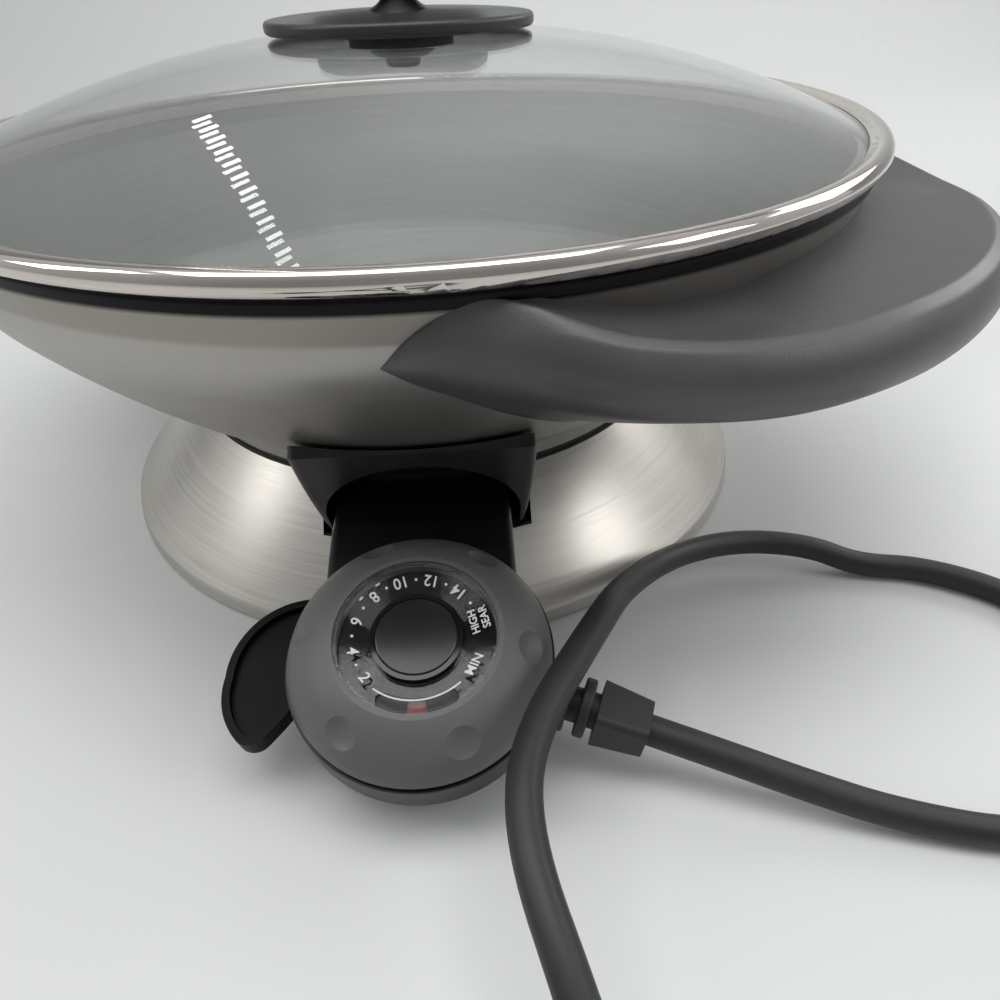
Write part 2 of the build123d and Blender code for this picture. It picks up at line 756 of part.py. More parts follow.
def handle_level(height, draw):
    """Plan of the handle at one height: its outer arc, closed by a chord inside the bowl."""
    radius = handle_arc_radius - draw
    chord = handle_centre + 15.0
    half = sqrt(radius**2 - (chord - handle_centre) ** 2)
    arc = ThreePointArc((chord, -half), (handle_centre + radius, 0), (chord, half))
    return Pos(0, 0, height) * make_face([arc, Line((chord, half), (chord, -half))])


def handle_end_profile():
    """Side outline (across, height) that shapes the pointed tips, the noses and the root's ends."""
    tip, low = handle_tip_half_span, handle_root_depth - 20
    right = [
        Line((tip - 47, 0, low), (tip - 7, 0, handle_tip_height - 4.5)),
        Line((tip - 7, 0, handle_tip_height - 4.5), (tip, 0, handle_tip_height)),
        ThreePointArc(
            (tip, 0, handle_tip_height), (tip - 2.6, 0, handle_nose_height - 10),
            (tip - 10, 0, handle_nose_height),
        ),
        Line((tip - 10, 0, handle_nose_height), (0, 0, handle_nose_height + 6)),
    ]
    left = [mirror(edge, Plane.YZ) for edge in right]
    outline = make_face([*right, *left, Line((tip - 47, 0, low), (47 - tip, 0, low))])
    return Rot(0, 0, 90) * extrude(outline, handle_reach + 20, dir=(0, -1, 0))


def handle_sheet(inner, outer, lift):
    """Solid swept up or down from the ruled surface between two curves given as functions of a share.

    The share runs from -1 at one tip to +1 at the other.
    """
    shares = [-1 + i / 10 for i in range(21)]
    curves = [Spline(*[curve(s) for s in shares]) for curve in (inner, outer)]
    return extrude(Face.make_surface_from_curves(*curves), abs(lift), dir=(0, 0, 1 if lift > 0 else -1))


def nose_rise(across, flat_half, radius):
    """Height gained beyond the flat middle stretch, along an arc that starts level."""
    run = max(0.0, abs(across) - flat_half)
    return radius - sqrt(radius**2 - run**2)


def wall_edge(share):
    """Inner edge of the dished top, just inside the bowl's band."""
    turn = radians(handle_end_turn * share)
    reach = sqrt(bowl_brow_radius**2 - (handle_centre * sin(turn)) ** 2) - handle_centre * cos(turn)
    across = reach * sin(turn)
    swell = (1 - cos(pi * min(abs(across), handle_swell_half) / handle_swell_half)) / 2
    return (handle_centre + reach * cos(turn), across, handle_inner_edge + handle_inner_swell * swell)


def crease_curve(share):
    """Outer edge of the dished top, carried on past the handle's wall on the dish's own slope."""
    turn = radians(handle_end_turn * share)
    x, y, z = wall_edge(share)
    radius = handle_arc_radius - handle_top_draw
    height = handle_dish_edge + nose_rise(radius * sin(turn), handle_flat_half, handle_nose_radius)
    slope = (height - z) / max(radius - hypot(x - handle_centre, y), handle_overrun)
    reach = radius + handle_overrun
    return (handle_centre + reach * cos(turn), reach * sin(turn), height + handle_overrun * slope)


def lip_curve(share):
    """Lower lip of the outer wall, carried on a little past it."""
    radius = handle_arc_radius - handle_bottom_draw + 8
    across = radius * share
    height = handle_lip_height + 2.5 + nose_rise(across, handle_flat_half, handle_lip_radius)
    return (handle_centre + sqrt(radius**2 - across**2), across, height)


def root_curve(share):
    """Inner edge of the underside: it hangs lower towards the middle, behind the bowl's belly."""
    across = handle_tip_half_span * share
    height = handle_root_depth - 10 + (handle_tip_height - handle_root_depth + 10) * abs(share) ** 3.2
    return (handle_centre + 20, across, height)


def make_handle_bracket():
    """Pressed lug welded to the bowl's belly: a curved foot and a level tongue for the screws."""
    foot = bowl_space(bracket_sheet)
    foot &= block(120, 200, -bracket_half_width, bracket_half_width, handle_screw_seat, handle_screw_end)
    foot -= bowl_space(0)
    level = bracket_level
    half = bracket_half_width
    tongue = block(150, bracket_reach, -half, half, level, level + bracket_sheet)
    bracket = foot + (tongue - bowl_space(0))
    for side in (-1, 1):
        place = (bracket_reach - handle_screw_inset, side * handle_screw_place)
        bracket -= post(handle_screw_radius + 0.2, handle_screw_seat, handle_screw_end, *place)
    return bracket


def make_handle_grip():
    """Crescent moulding: bulged outer wall, dished top, hollow under the fingers, slot for the lug."""
    levels = [
        handle_level(handle_bottom_level - 24, handle_bottom_draw * 2.6),
        handle_level(handle_bottom_level, handle_bottom_draw),
        handle_level(handle_widest_height, 0),
        *[handle_level(height, draw) for height, draw in handle_crown],
    ]
    grip = loft(levels) & handle_end_profile()
    grip -= handle_sheet(wall_edge, crease_curve, 40)
    grip -= handle_sheet(root_curve, lip_curve, -60)
    grip -= bowl_space(clearance / 2)
    pocket = bowl_space(bracket_sheet + clearance)
    half = bracket_half_width + clearance
    pocket &= block(120, 200, -half, half, handle_root_depth - 4, handle_screw_end + clearance)
    pocket += block(
        150, bracket_reach + clearance, -half, half,
        bracket_level - clearance, bracket_level + bracket_sheet + clearance,
    )
    grip -= pocket
    for side in (-1, 1):
        place = (bracket_reach - handle_screw_inset, side * handle_screw_place)
        grip -= post(handle_screw_radius + press_fit, handle_root_depth - 4, handle_screw_end, *place)
        grip -= post(handle_screw_head + clearance, handle_root_depth - 4, handle_screw_seat, *place)
    return max(grip.solids(), key=lambda solid: solid.volume)


def make_handle_screw(side):
    """Pan-head screw driven upwards through the grip and the lug."""
    place = (bracket_reach - handle_screw_inset, side * handle_screw_place)
    head = post(handle_screw_head, handle_screw_seat - handle_screw_head_height, handle_screw_seat, *place)
    return head + post(handle_screw_radius, handle_screw_seat, handle_screw_end, *place)


handle_pieces = {
    "handle_grip": [make_handle_grip()],
    "handle_bracket": [make_handle_bracket()],
    "handle_screws": [make_handle_screw(side) for side in (-1, 1)],
}
for side_name, azimuth in (("right", handle_azimuth - 90), ("left", handle_azimuth + 90)):
    for piece_name, shapes in handle_pieces.items():
        save(f"{side_name}_{piece_name}", *[Rot(0, 0, azimuth) * shape for shape in shapes])


# ---------------------------------------------------------------- heat control: pod and neck
tilt = radians(dial_tilt)
dial_plane = Plane(origin=(0, dial_front, dial_height), x_dir=(1, 0, 0), z_dir=(0, -sin(tilt), cos(tilt)))


def tilted(shape):
    """Moves a shape from the dial's own frame (Z along its spindle) to its place."""
    return dial_plane.location * shape


def pod_form(inset):
    """Round pod under the dial, drawn in by an inset."""
    pod = post(pod_radius - inset, pod_bottom + inset, pod_top - inset)
    return tilted(fillet(outer_edges(pod, pod_radius - inset, pod_bottom + inset), pod_corner - inset))


def neck_form(inset):
    """Neck and nose that carry the pod into the hood's mouth, drawn in by an inset."""
    side = make_face(Polyline(*[(0, y, z) for y, z in (
        (nose_back, neck_bottom), (-122, neck_bottom), (-140, 19.5), (-176, 17), (-184, 30),
        (-166, 42), (-150, 46.8), (-138, neck_top), (nose_back, neck_top),
    )], close=True))
    if inset:
        side = offset(side, -inset, kind=Kind.INTERSECTION)
    half = neck_half_width - inset
    neck = extrude(side, half, dir=(1, 0, 0), both=True)
    long_edges = [
        e for e in neck.edges()
        if abs(abs(e.center().X) - half) < 0.1 and e.center().Z > socket_height and e.length > 6
    ]
    return fillet(long_edges, neck_round - inset / 2)


def lever_outline(grow=0.0):
    """Plan of the release lever in the dial's frame: a paddle that leaves the pod and curls round it."""
    px, py = lever_pivot
    paddle = make_face([
        ThreePointArc((px - 3.0, py + 5.6), (-49.0, 20.9), (-60.2, -0.3)),
        ThreePointArc((-60.2, -0.3), (-59.4, -11.4), (-54.8, -19.4)),
        ThreePointArc((-54.8, -19.4), (-50.4, -21.8), (-46.0, -19.8)),
        ThreePointArc((-46.0, -19.8), (-42.3, -15.6), (-39.8, -12.5)),
        Line((-39.8, -12.5), (px - 4.0, py - 5.0)),
        Line((px - 4.0, py - 5.0), (px - 3.0, py + 5.6)),
    ])
    paddle += Pos(px, py) * Circle(5.6)
    return offset(paddle, grow) if grow else paddle


def lever_sweep():
    """Room that the lever needs over its whole swing."""
    px, py = lever_pivot
    room = None
    for share in (0.0, 0.25, 0.5, 0.75, 1.0):
        turn = Pos(px, py) * Rot(0, 0, lever_travel * share) * Pos(-px, -py)
        shape = extrude(turn * lever_outline(0.5), lever_top - lever_bottom + 2 * clearance)
        shape = Pos(0, 0, lever_bottom - clearance) * shape
        room = shape if room is None else room + shape
    return room


probe_screw_places = ((27.0, -12.0, pod_bottom), (-22.0, -21.0, pod_bottom), (0.0, 27.0, -28.6))
lens_place = -20.0
lens_depth = 3.0
lamp_radius = 2.4
thermostat_top = -5.8
boss_radius = 3.8
screw_radius = 1.6
screw_head_radius = 2.9
light_slot_turn = 28.0  # degrees to either side of the lens
light_slot_width = 4.4

relief_axis = Plane(
    origin=relief_root,
    x_dir=(-sin(radians(relief_turn)), cos(radians(relief_turn)), 0),
    z_dir=(
        cos(radians(relief_dip)) * cos(radians(relief_turn)),
        cos(radians(relief_dip)) * sin(radians(relief_turn)),
        -sin(radians(relief_dip)),
    ),
)


def lens_form(grow):
    """Trapezoid lens, wider towards the dial's edge."""
    shape = make_face(Polyline((-2.2, 1.8), (2.2, 1.8), (3.1, -1.8), (-3.1, -1.8), close=True))
    if grow:
        shape = offset(shape, grow, kind=Kind.INTERSECTION)
    return Pos(0, lens_place, pod_boss_top - lens_depth) * extrude(shape, lens_depth + grow)


def make_housings():
    """Upper and lower shells of the heat control, split on a plane square to the spindle."""
    shell = pod_form(0) + neck_form(0)
    shell -= pod_form(pod_wall) + neck_form(pod_wall)
    top_inside = pod_top - pod_wall
    adds = post(pod_boss_radius, top_inside, pod_boss_top)
    for x, y, low in probe_screw_places:
        adds += post(boss_radius, low + 1.0, top_inside + 0.5, x, y)
    px, py = lever_pivot
    pin_bosses = post(5.0, pod_bottom + 1.5, lever_bottom - clearance, px, py)
    pin_bosses += post(3.3, lever_top + clearance, top_inside + 0.5, px, py)
    shell += tilted(adds) + (tilted(pin_bosses) & pod_form(0.5))
    cuts = post(dial_shaft_radius + running_fit, top_inside - 1, pod_boss_top + 1)
    cuts += lens_form(0.1)
    cuts += post(lamp_radius + clearance, top_inside - 1, pod_boss_top - lens_depth - 0.8, 0, lens_place)
    for x, y, low in probe_screw_places:
        cuts += post(screw_radius + press_fit, low - 3, pod_split + 5.5, x, y)
        cuts += post(screw_head_radius + 0.1, low - 3, low + 5.0, x, y)
    cuts += lever_sweep()
    cuts += post(lever_pin_radius + press_fit, lever_bottom - 3.2, top_inside - 0.4, px, py)
    shell -= tilted(cuts)
    shell -= rod_y(rod_radius + press_fit, -125, -90, 0, socket_height)
    for x in (-pin_spacing / 2, pin_spacing / 2):
        shell -= rod_y(pin_radius + running_fit + contact_wall + press_fit, -125, -90, x, socket_height)
    shell -= relief_axis.location * post(relief_core_radius + press_fit, -9, 6)
    below = tilted(block(-90, 90, -90, 90, -90, pod_split))
    return shell - below, shell & below


upper_housing, lower_housing = make_housings()
save("probe_upper_housing", upper_housing)
save("probe_lower_housing", lower_housing)


# ---------------------------------------------------------------- heat control: what it holds
top_inside = pod_top - pod_wall
probe_screws = [
    tilted(
        post(screw_radius, low + 5.0, pod_split + 5.3, x, y)
        + post(screw_head_radius, low + 3.0, low + 5.0, x, y)
    )
    for x, y, low in probe_screw_places
]
save("probe_screws", *probe_screws)

thermostat = block(-13, 13, -12, 13, pod_bottom + pod_wall, thermostat_top)
save("thermostat", tilted(thermostat))
save("indicator_lens", tilted(lens_form(0)))
lamp = post(lamp_radius, -14, pod_boss_top - lens_depth - 1.2, 0, lens_place)
lamp += block(-1.2, 1.2, lens_place, -12, -14, -12)
save("indicator_lamp", tilted(lamp))

contact_block = block(
    -24, 24, rod_front - 4, nose_back - pod_wall, neck_bottom + pod_wall, neck_top - pod_wall,
)
contact_outer = pin_radius + running_fit + contact_wall
contact_front = guide_front - 1.0
contacts = []
for x in (-pin_spacing / 2, pin_spacing / 2):
    contact_block -= rod_y(contact_outer + press_fit, rod_front, -90, x, socket_height)
    tube = rod_y(contact_outer, rod_front, contact_front, x, socket_height)
    bore = rod_y(pin_radius + running_fit, rod_front + 2, contact_front + 1, x, socket_height)
    contacts.append(tube - bore)
contact_block -= rod_y(rod_radius + press_fit, rod_front, -90, 0, socket_height)
save("probe_contact_block", contact_block)
save("probe_contacts", *contacts)
rod = rod_y(rod_radius, rod_front, rod_back, 0, socket_height)
save("sensor_rod", fillet(rod.edges().group_by(Axis.Y)[-1], rod_radius * 0.8))


# ---------------------------------------------------------------- heat control: dial
def make_dial_skirt():
    """Moulded skirt: rounded edge, coned top with finger dimples, and a collar round the window."""
    r, top, ring = dial_radius, dial_rise, dial_window_radius
    collar = ring + 1.6
    crown = ThreePointArc((r - 0.9, 0, 3.2), (r - 7.0, 0, 10.0), (collar, 0, top))
    under = ThreePointArc((r - 3.0, 0, 2.8), (r - 8.4, 0, 8.2), (collar + 0.6, 0, top - dial_skin - 0.4))
    skirt = revolve(make_face([
        Line((r - 1.6, 0, 0), (r, 0, 0.9)), Line((r, 0, 0.9), (r - 0.9, 0, 3.2)), crown,
        Polyline(
            (collar, 0, top), (ring + 0.1, 0, top), (ring + 0.1, 0, top - 2.2), (ring - 0.7, 0, top - 2.2),
            (ring - 0.7, 0, 2.0), (collar + 0.6, 0, 2.0), (collar + 0.6, 0, top - dial_skin - 0.4),
        ),
        under, Line((r - 3.0, 0, 2.8), (r - 3.0, 0, 0)), Line((r - 3.0, 0, 0), (r - 1.6, 0, 0)),
    ]), Axis.Z)
    ball = dial_dimple_radius**2 / (2 * dial_dimple_depth) + dial_dimple_depth / 2
    lean = 40.0
    dimple = Rot(0, lean, 0) * Pos(0, 0, ball - dial_dimple_depth) * Sphere(ball)
    dimple = Pos(dial_dimple_place, 0, 9.0) * dimple
    for copy in polar(dial_dimple_count, dimple, -8.0):
        skirt -= copy
    return skirt


window_low = dial_rise - 2.2
window = turned([
    (dial_cap_radius + 0.6, window_low - 2.3), (dial_cap_radius + 0.6, window_low - 1.0),
    (dial_window_radius - 1.2, window_low + 1.4), (dial_window_radius, window_low + 1.4),
    (dial_window_radius, window_low), (dial_window_radius - 0.9, window_low),
])
hub_floor = pod_boss_top + 0.5
cap_seat = hub_floor + 1.2
hub_inner = dial_cap_radius - 1.3
dial_hub = turned([
    (dial_shaft_radius, hub_floor), (dial_shaft_radius, cap_seat), (hub_inner, cap_seat),
    (hub_inner, window_low + 0.4), (dial_cap_radius, window_low + 0.4), (dial_cap_radius, hub_floor + 0.4),
    (dial_window_radius - 0.9, hub_floor + 0.4), (dial_window_radius - 0.9, hub_floor),
])
light_arc = CenterArc((0, 0), -lens_place, -90 - light_slot_turn, 2 * light_slot_turn)
dial_hub -= Pos(0, 0, hub_floor - 1) * extrude(SlotArc(light_arc, light_slot_width), 2)
cap_radius = dial_cap_radius - 1.4
cap = post(cap_radius, cap_seat, window_low + 0.6)
save("dial_skirt", tilted(make_dial_skirt()))
save("dial_window", tilted(window))
save("dial_hub", tilted(dial_hub))
save("dial_cap", tilted(fillet(outer_edges(cap, cap_radius, window_low + 0.6), 0.6)))
shaft = post(dial_shaft_radius, thermostat_top + clearance, cap_seat)
save("dial_shaft", tilted(shaft))


# ---------------------------------------------------------------- heat control: release lever
def make_lever():
    """Paddle with a raised rim round a recessed face, and a bored hub on its pin."""
    px, py = lever_pivot
    body = Pos(0, 0, lever_bottom) * extrude(lever_outline(), lever_top - lever_bottom)
    recess = offset(lever_outline(), -lever_rim) & Pos(-50, 0) * Rectangle(30, 60)
    body -= Pos(0, 0, lever_bottom + lever_floor) * extrude(recess, lever_top - lever_bottom)
    hub = post(5.6, lever_bottom, lever_top, px, py)
    return body + hub - post(lever_pin_radius + running_fit, lever_bottom - 1, lever_top + 1, px, py)


save("release_lever", tilted(make_lever()))
pin_low, pin_high = lever_bottom - 3.2, top_inside - 0.4
save("lever_pin", tilted(post(lever_pin_radius, pin_low, pin_high, *lever_pivot)))
helix = Helix(pitch=spring_pitch, height=3 * spring_pitch, radius=spring_radius)
coil_path = Pos(*lever_pivot, lever_top + 0.8) * helix
spring = sweep(Plane(origin=coil_path @ 0, z_dir=coil_path % 0) * Circle(spring_wire), path=coil_path)
save("lever_spring", tilted(spring))


# ---------------------------------------------------------------- cord: bend relief and sleeve
def on_relief(shape):
    """Moves a shape built along Z to the bend relief's axis."""
    return relief_axis.location * shape


relief_end = sleeve_start + sleeve_length * 0.6
relief = post(relief_core_radius, -3.0, relief_end)
for start in relief_disc_starts:
    disc = post(relief_disc_radius, start, start + relief_disc_width)
    relief += fillet(disc.edges().filter_by(GeomType.CIRCLE), 0.8)
save("cord_bend_relief", on_relief(relief))

sleeve_sections = [
    Pos(0, 0, sleeve_start + sleeve_length * share) * RectangleRounded(wide, wide * 0.86, 2.2)
    for share, wide in ((0.0, sleeve_start_width), (1.0, sleeve_end_width))
]
sleeve = loft(sleeve_sections)
sleeve -= post(relief_core_radius + press_fit, sleeve_start - 1, relief_end)
save("cord_sleeve", on_relief(sleeve))


# ---------------------------------------------------------------- cord
def smooth_path(points):
    """Straight runs joined by tangent arcs, each as large as its runs allow; returns path and radii."""
    corners = [Vector(*p) for p in points]
    radii = []
    for before, corner, after in zip(corners, corners[1:], corners[2:]):
        half_turn = radians((corner - before).get_angle(after - corner)) / 2
        radii.append(0.45 * min((corner - before).length, (after - corner).length) / tan(half_turn))
    return FilletPolyline(*points, radius=radii), radii


def make_tube(points, name):
    """Plain tube of the cord's section along a route."""
    path, radii = smooth_path(points)
    tube = sweep(Plane(origin=path @ 0, z_dir=path % 0) * Circle(cord_diameter / 2), path=path)
    expected = path.length * pi * cord_diameter**2 / 4
    print(f"{name}: length {path.length:.0f}, volume {tube.volume:.0f} of {expected:.0f}")
    print(f"{name}: radii", [round(r) for r in radii])
    return tube


cord_rest = cord_diameter / 2  # height of the cord's middle where it lies on the table
sleeve_end = relief_axis.origin + relief_axis.z_dir * (sleeve_start + sleeve_length)
first_bend = sleeve_end + relief_axis.z_dir * 24.0
cord_route = [
    (sleeve_end.X, sleeve_end.Y, sleeve_end.Z),
    (first_bend.X, first_bend.Y, first_bend.Z), (109.0, -219.9, 10.4), (134.0, -228.7, 6.0),
    (168.0, -237.5, cord_rest), (200.7, -232.9, cord_rest), (225.9, -211.2, cord_rest),
    (233.8, -178.7, cord_rest), (221.6, -147.0, cord_rest), (194.5, -128.5, cord_rest),
    (168.8, -124.4, cord_rest),
    (150.5, -118.4, 11.1), (121.0, -116.5, 14.4), (91.0, -129.4, 20.0), (66.4, -157.8, 32.9),
    (52.2, -186.6, 46.0), (29.2, -222.3, 46.0),
    (25.3, -247.7, 43.9), (35.5, -283.0, 37.0), (44.1, -309.9, 17.0), (50.8, -330.4, 7.0),
    (58.5, -357.0, cord_rest),
]
tail_route = [(-41.5, -386.0, 9.3), (-49.0, -366.0, 11.5), (-60.0, -347.0, 13.0), (-72.0, -331.0, 13.0)]
save("cord", make_tube(cord_route, "cord"))
save("cord_tail", make_tube(tail_route, "cord tail"))


def coil_section(inset):
    """Bundle of turns lying in a ring, as a body of revolution about the coil's middle."""
    side = coil_bundle * cord_diameter - 2 * inset
    ring = Pos(coil_mean_diameter / 2, 0, coil_bundle * cord_rest) * Rot(90, 0, 0) * RectangleRounded(
        side, side, cord_rest - inset,
    )
    return Pos(*coil_centre, 0) * revolve(ring, Axis.Z)


tie_slab = Pos(coil_mean_diameter / 2, 0, 10) * Box(40, tie_width, 40)
tie_slab = Pos(*coil_centre, 0) * Rot(0, 0, tie_azimuth) * tie_slab
coil = coil_section(0)
tie = (coil - coil_section(tie_sheet)) & tie_slab
save("cord_coil", coil - tie)
save("coil_tie", tie)


# ---------------------------------------------------------------- plug
plug_plane = Plane(origin=tail_route[-1], x_dir=(0.8, 0.6, 0), z_dir=(-0.6, 0.8, 0))


def at_plug(shape):
    """Moves a shape built along Z, with Y downwards, to the plug's place."""
    return plug_plane.location * shape


def make_plug_body():
    """Moulded three-pin plug: a boot on the cord, a waist for the fingers and a square face."""
    body = loft([
        Pos(0, 0, plug_boot) * RectangleRounded(14, 14, 6.5),
        Pos(0, 0, plug_boot + 9) * RectangleRounded(20, 18, 6.5),
        Pos(0, 0, plug_boot + 18) * RectangleRounded(23, 22, 5.0),
        Pos(0, 0, plug_boot + plug_length) * RectangleRounded(plug_width, plug_height, 4.0),
    ])
    boot = post(cord_rest + 1.8, 0, plug_boot + 2)
    for step in range(3):
        boot -= post(20, 1.6 + 3 * step, 2.8 + 3 * step) - post(cord_rest + 0.9, 0, 20)
    return body + boot


plug_face = plug_boot + plug_length
blade = Pos(0, 4.0, plug_face + blade_length / 2) * Box(1.5, 6.35, blade_length)
blades = [Pos(side * blade_spacing / 2, 0, 0) * blade for side in (-1, 1)]
ground = post(2.4, plug_face, plug_face + blade_length + 3.2, 0, 4.0 - ground_offset)
save("plug_body", at_plug(make_plug_body()))
save("plug_blades", *[at_plug(blade) for blade in blades])
save("plug_ground_pin", at_plug(ground))
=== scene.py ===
"""Electric wok: its finishes, cord, glass, handles, lettering, light and camera.

Metres, +Z up. The origin is on the bowl's axis, on the table. The heat control is at the front, -Y.
"""
from math import cos, pi, radians, sin

import bpy
import numpy as np
from mathutils import Matrix


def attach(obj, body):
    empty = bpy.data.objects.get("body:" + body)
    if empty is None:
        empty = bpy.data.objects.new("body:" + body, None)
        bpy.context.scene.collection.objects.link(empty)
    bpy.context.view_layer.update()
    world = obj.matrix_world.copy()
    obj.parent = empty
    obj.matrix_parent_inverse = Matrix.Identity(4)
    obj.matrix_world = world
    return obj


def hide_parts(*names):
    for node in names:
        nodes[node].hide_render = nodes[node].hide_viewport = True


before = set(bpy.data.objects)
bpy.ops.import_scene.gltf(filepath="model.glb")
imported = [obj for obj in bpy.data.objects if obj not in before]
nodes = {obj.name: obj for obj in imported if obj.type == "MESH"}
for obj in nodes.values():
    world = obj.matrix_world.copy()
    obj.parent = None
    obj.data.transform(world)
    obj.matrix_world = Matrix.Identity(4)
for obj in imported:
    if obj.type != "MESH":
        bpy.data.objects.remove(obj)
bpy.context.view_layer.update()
scene = bpy.context.scene
MM = 0.001

# ---------------------------------------------------------------- camera
camera_place = (0.020451, -0.334375, 0.2058)
camera_right = (0.99808585, -0.0549431, -0.02838836)
camera_up = (0.05577104, 0.60128102, 0.79708891)
camera_forward = (0.02672515, 0.79714641, -0.60319431)
focal_length = 26.39  # millimetres, on a sensor 36 mm wide

camera_data = bpy.data.cameras.new("camera")
camera_data.lens = focal_length
camera_data.sensor_width = 36.0
camera_data.clip_start = 0.01
camera_data.clip_end = 50.0
camera = bpy.data.objects.new("camera", camera_data)
columns = np.array([camera_right, camera_up, [-v for v in camera_forward], camera_place]).T
camera.matrix_world = Matrix([*columns.tolist(), [0, 0, 0, 1]])
scene.collection.objects.link(camera)
scene.camera = camera
scene.view_settings.view_transform = "Standard"


# ---------------------------------------------------------------- mesh helpers
def put(name, vertices, faces, smooth_angle=None):
    """New mesh object from an array of points in metres and a list of faces of any size.

    With an angle in degrees it is shaded smooth, apart from the edges that turn further than that.
    """
    mesh = bpy.data.meshes.new(name)
    mesh.from_pydata(vertices.reshape(-1, 3).tolist(), [], faces)
    mesh.update()
    if smooth_angle is not None:
        mesh.shade_smooth()
        mesh.set_sharp_from_angle(angle=radians(smooth_angle))
    made = bpy.data.objects.new(name, mesh)
    scene.collection.objects.link(made)
    return made


def grid_faces(rows, columns, wrap_rows=False, wrap_columns=False):
    """Quads of a rows x columns grid of points, numbered row by row. Either way round may close on itself."""
    row_steps = np.arange(rows if wrap_rows else rows - 1)
    column_steps = np.arange(columns if wrap_columns else columns - 1)
    i, j = (steps.ravel() for steps in np.meshgrid(row_steps, column_steps, indexing="ij"))
    up, over = (i + 1) % rows, (j + 1) % columns
    return np.stack([i * columns + j, i * columns + over, up * columns + over, up * columns + j], axis=1)


def turned(name, section, count, smooth_angle):
    """Ring turned about Z: each (radius, height) of the closed section goes round as (r cos a, r sin a, z).

    The section runs anticlockwise with the radius to the right, so its faces point outwards.
    """
    angle = np.linspace(0.0, 2 * pi, count, endpoint=False)
    radius, height = section[:, 0, None], section[:, 1, None]
    points = np.stack([
        radius * np.cos(angle),
        radius * np.sin(angle),
        np.broadcast_to(height, (len(section), count)),
    ], axis=-1)
    return put(name, points, grid_faces(len(section), count, True, True).tolist(), smooth_angle)


def dress(piece, finish):
    """Gives a piece one material."""
    if piece.material_slots:
        for slot in piece.material_slots:
            slot.material = finish.material
    else:
        piece.data.materials.append(finish.material)


# ---------------------------------------------------------------- material helpers
mix_factor, mix_first, mix_second = 0, 6, 7  # inputs of a Mix node that mixes colours
mix_result = 2  # and its output


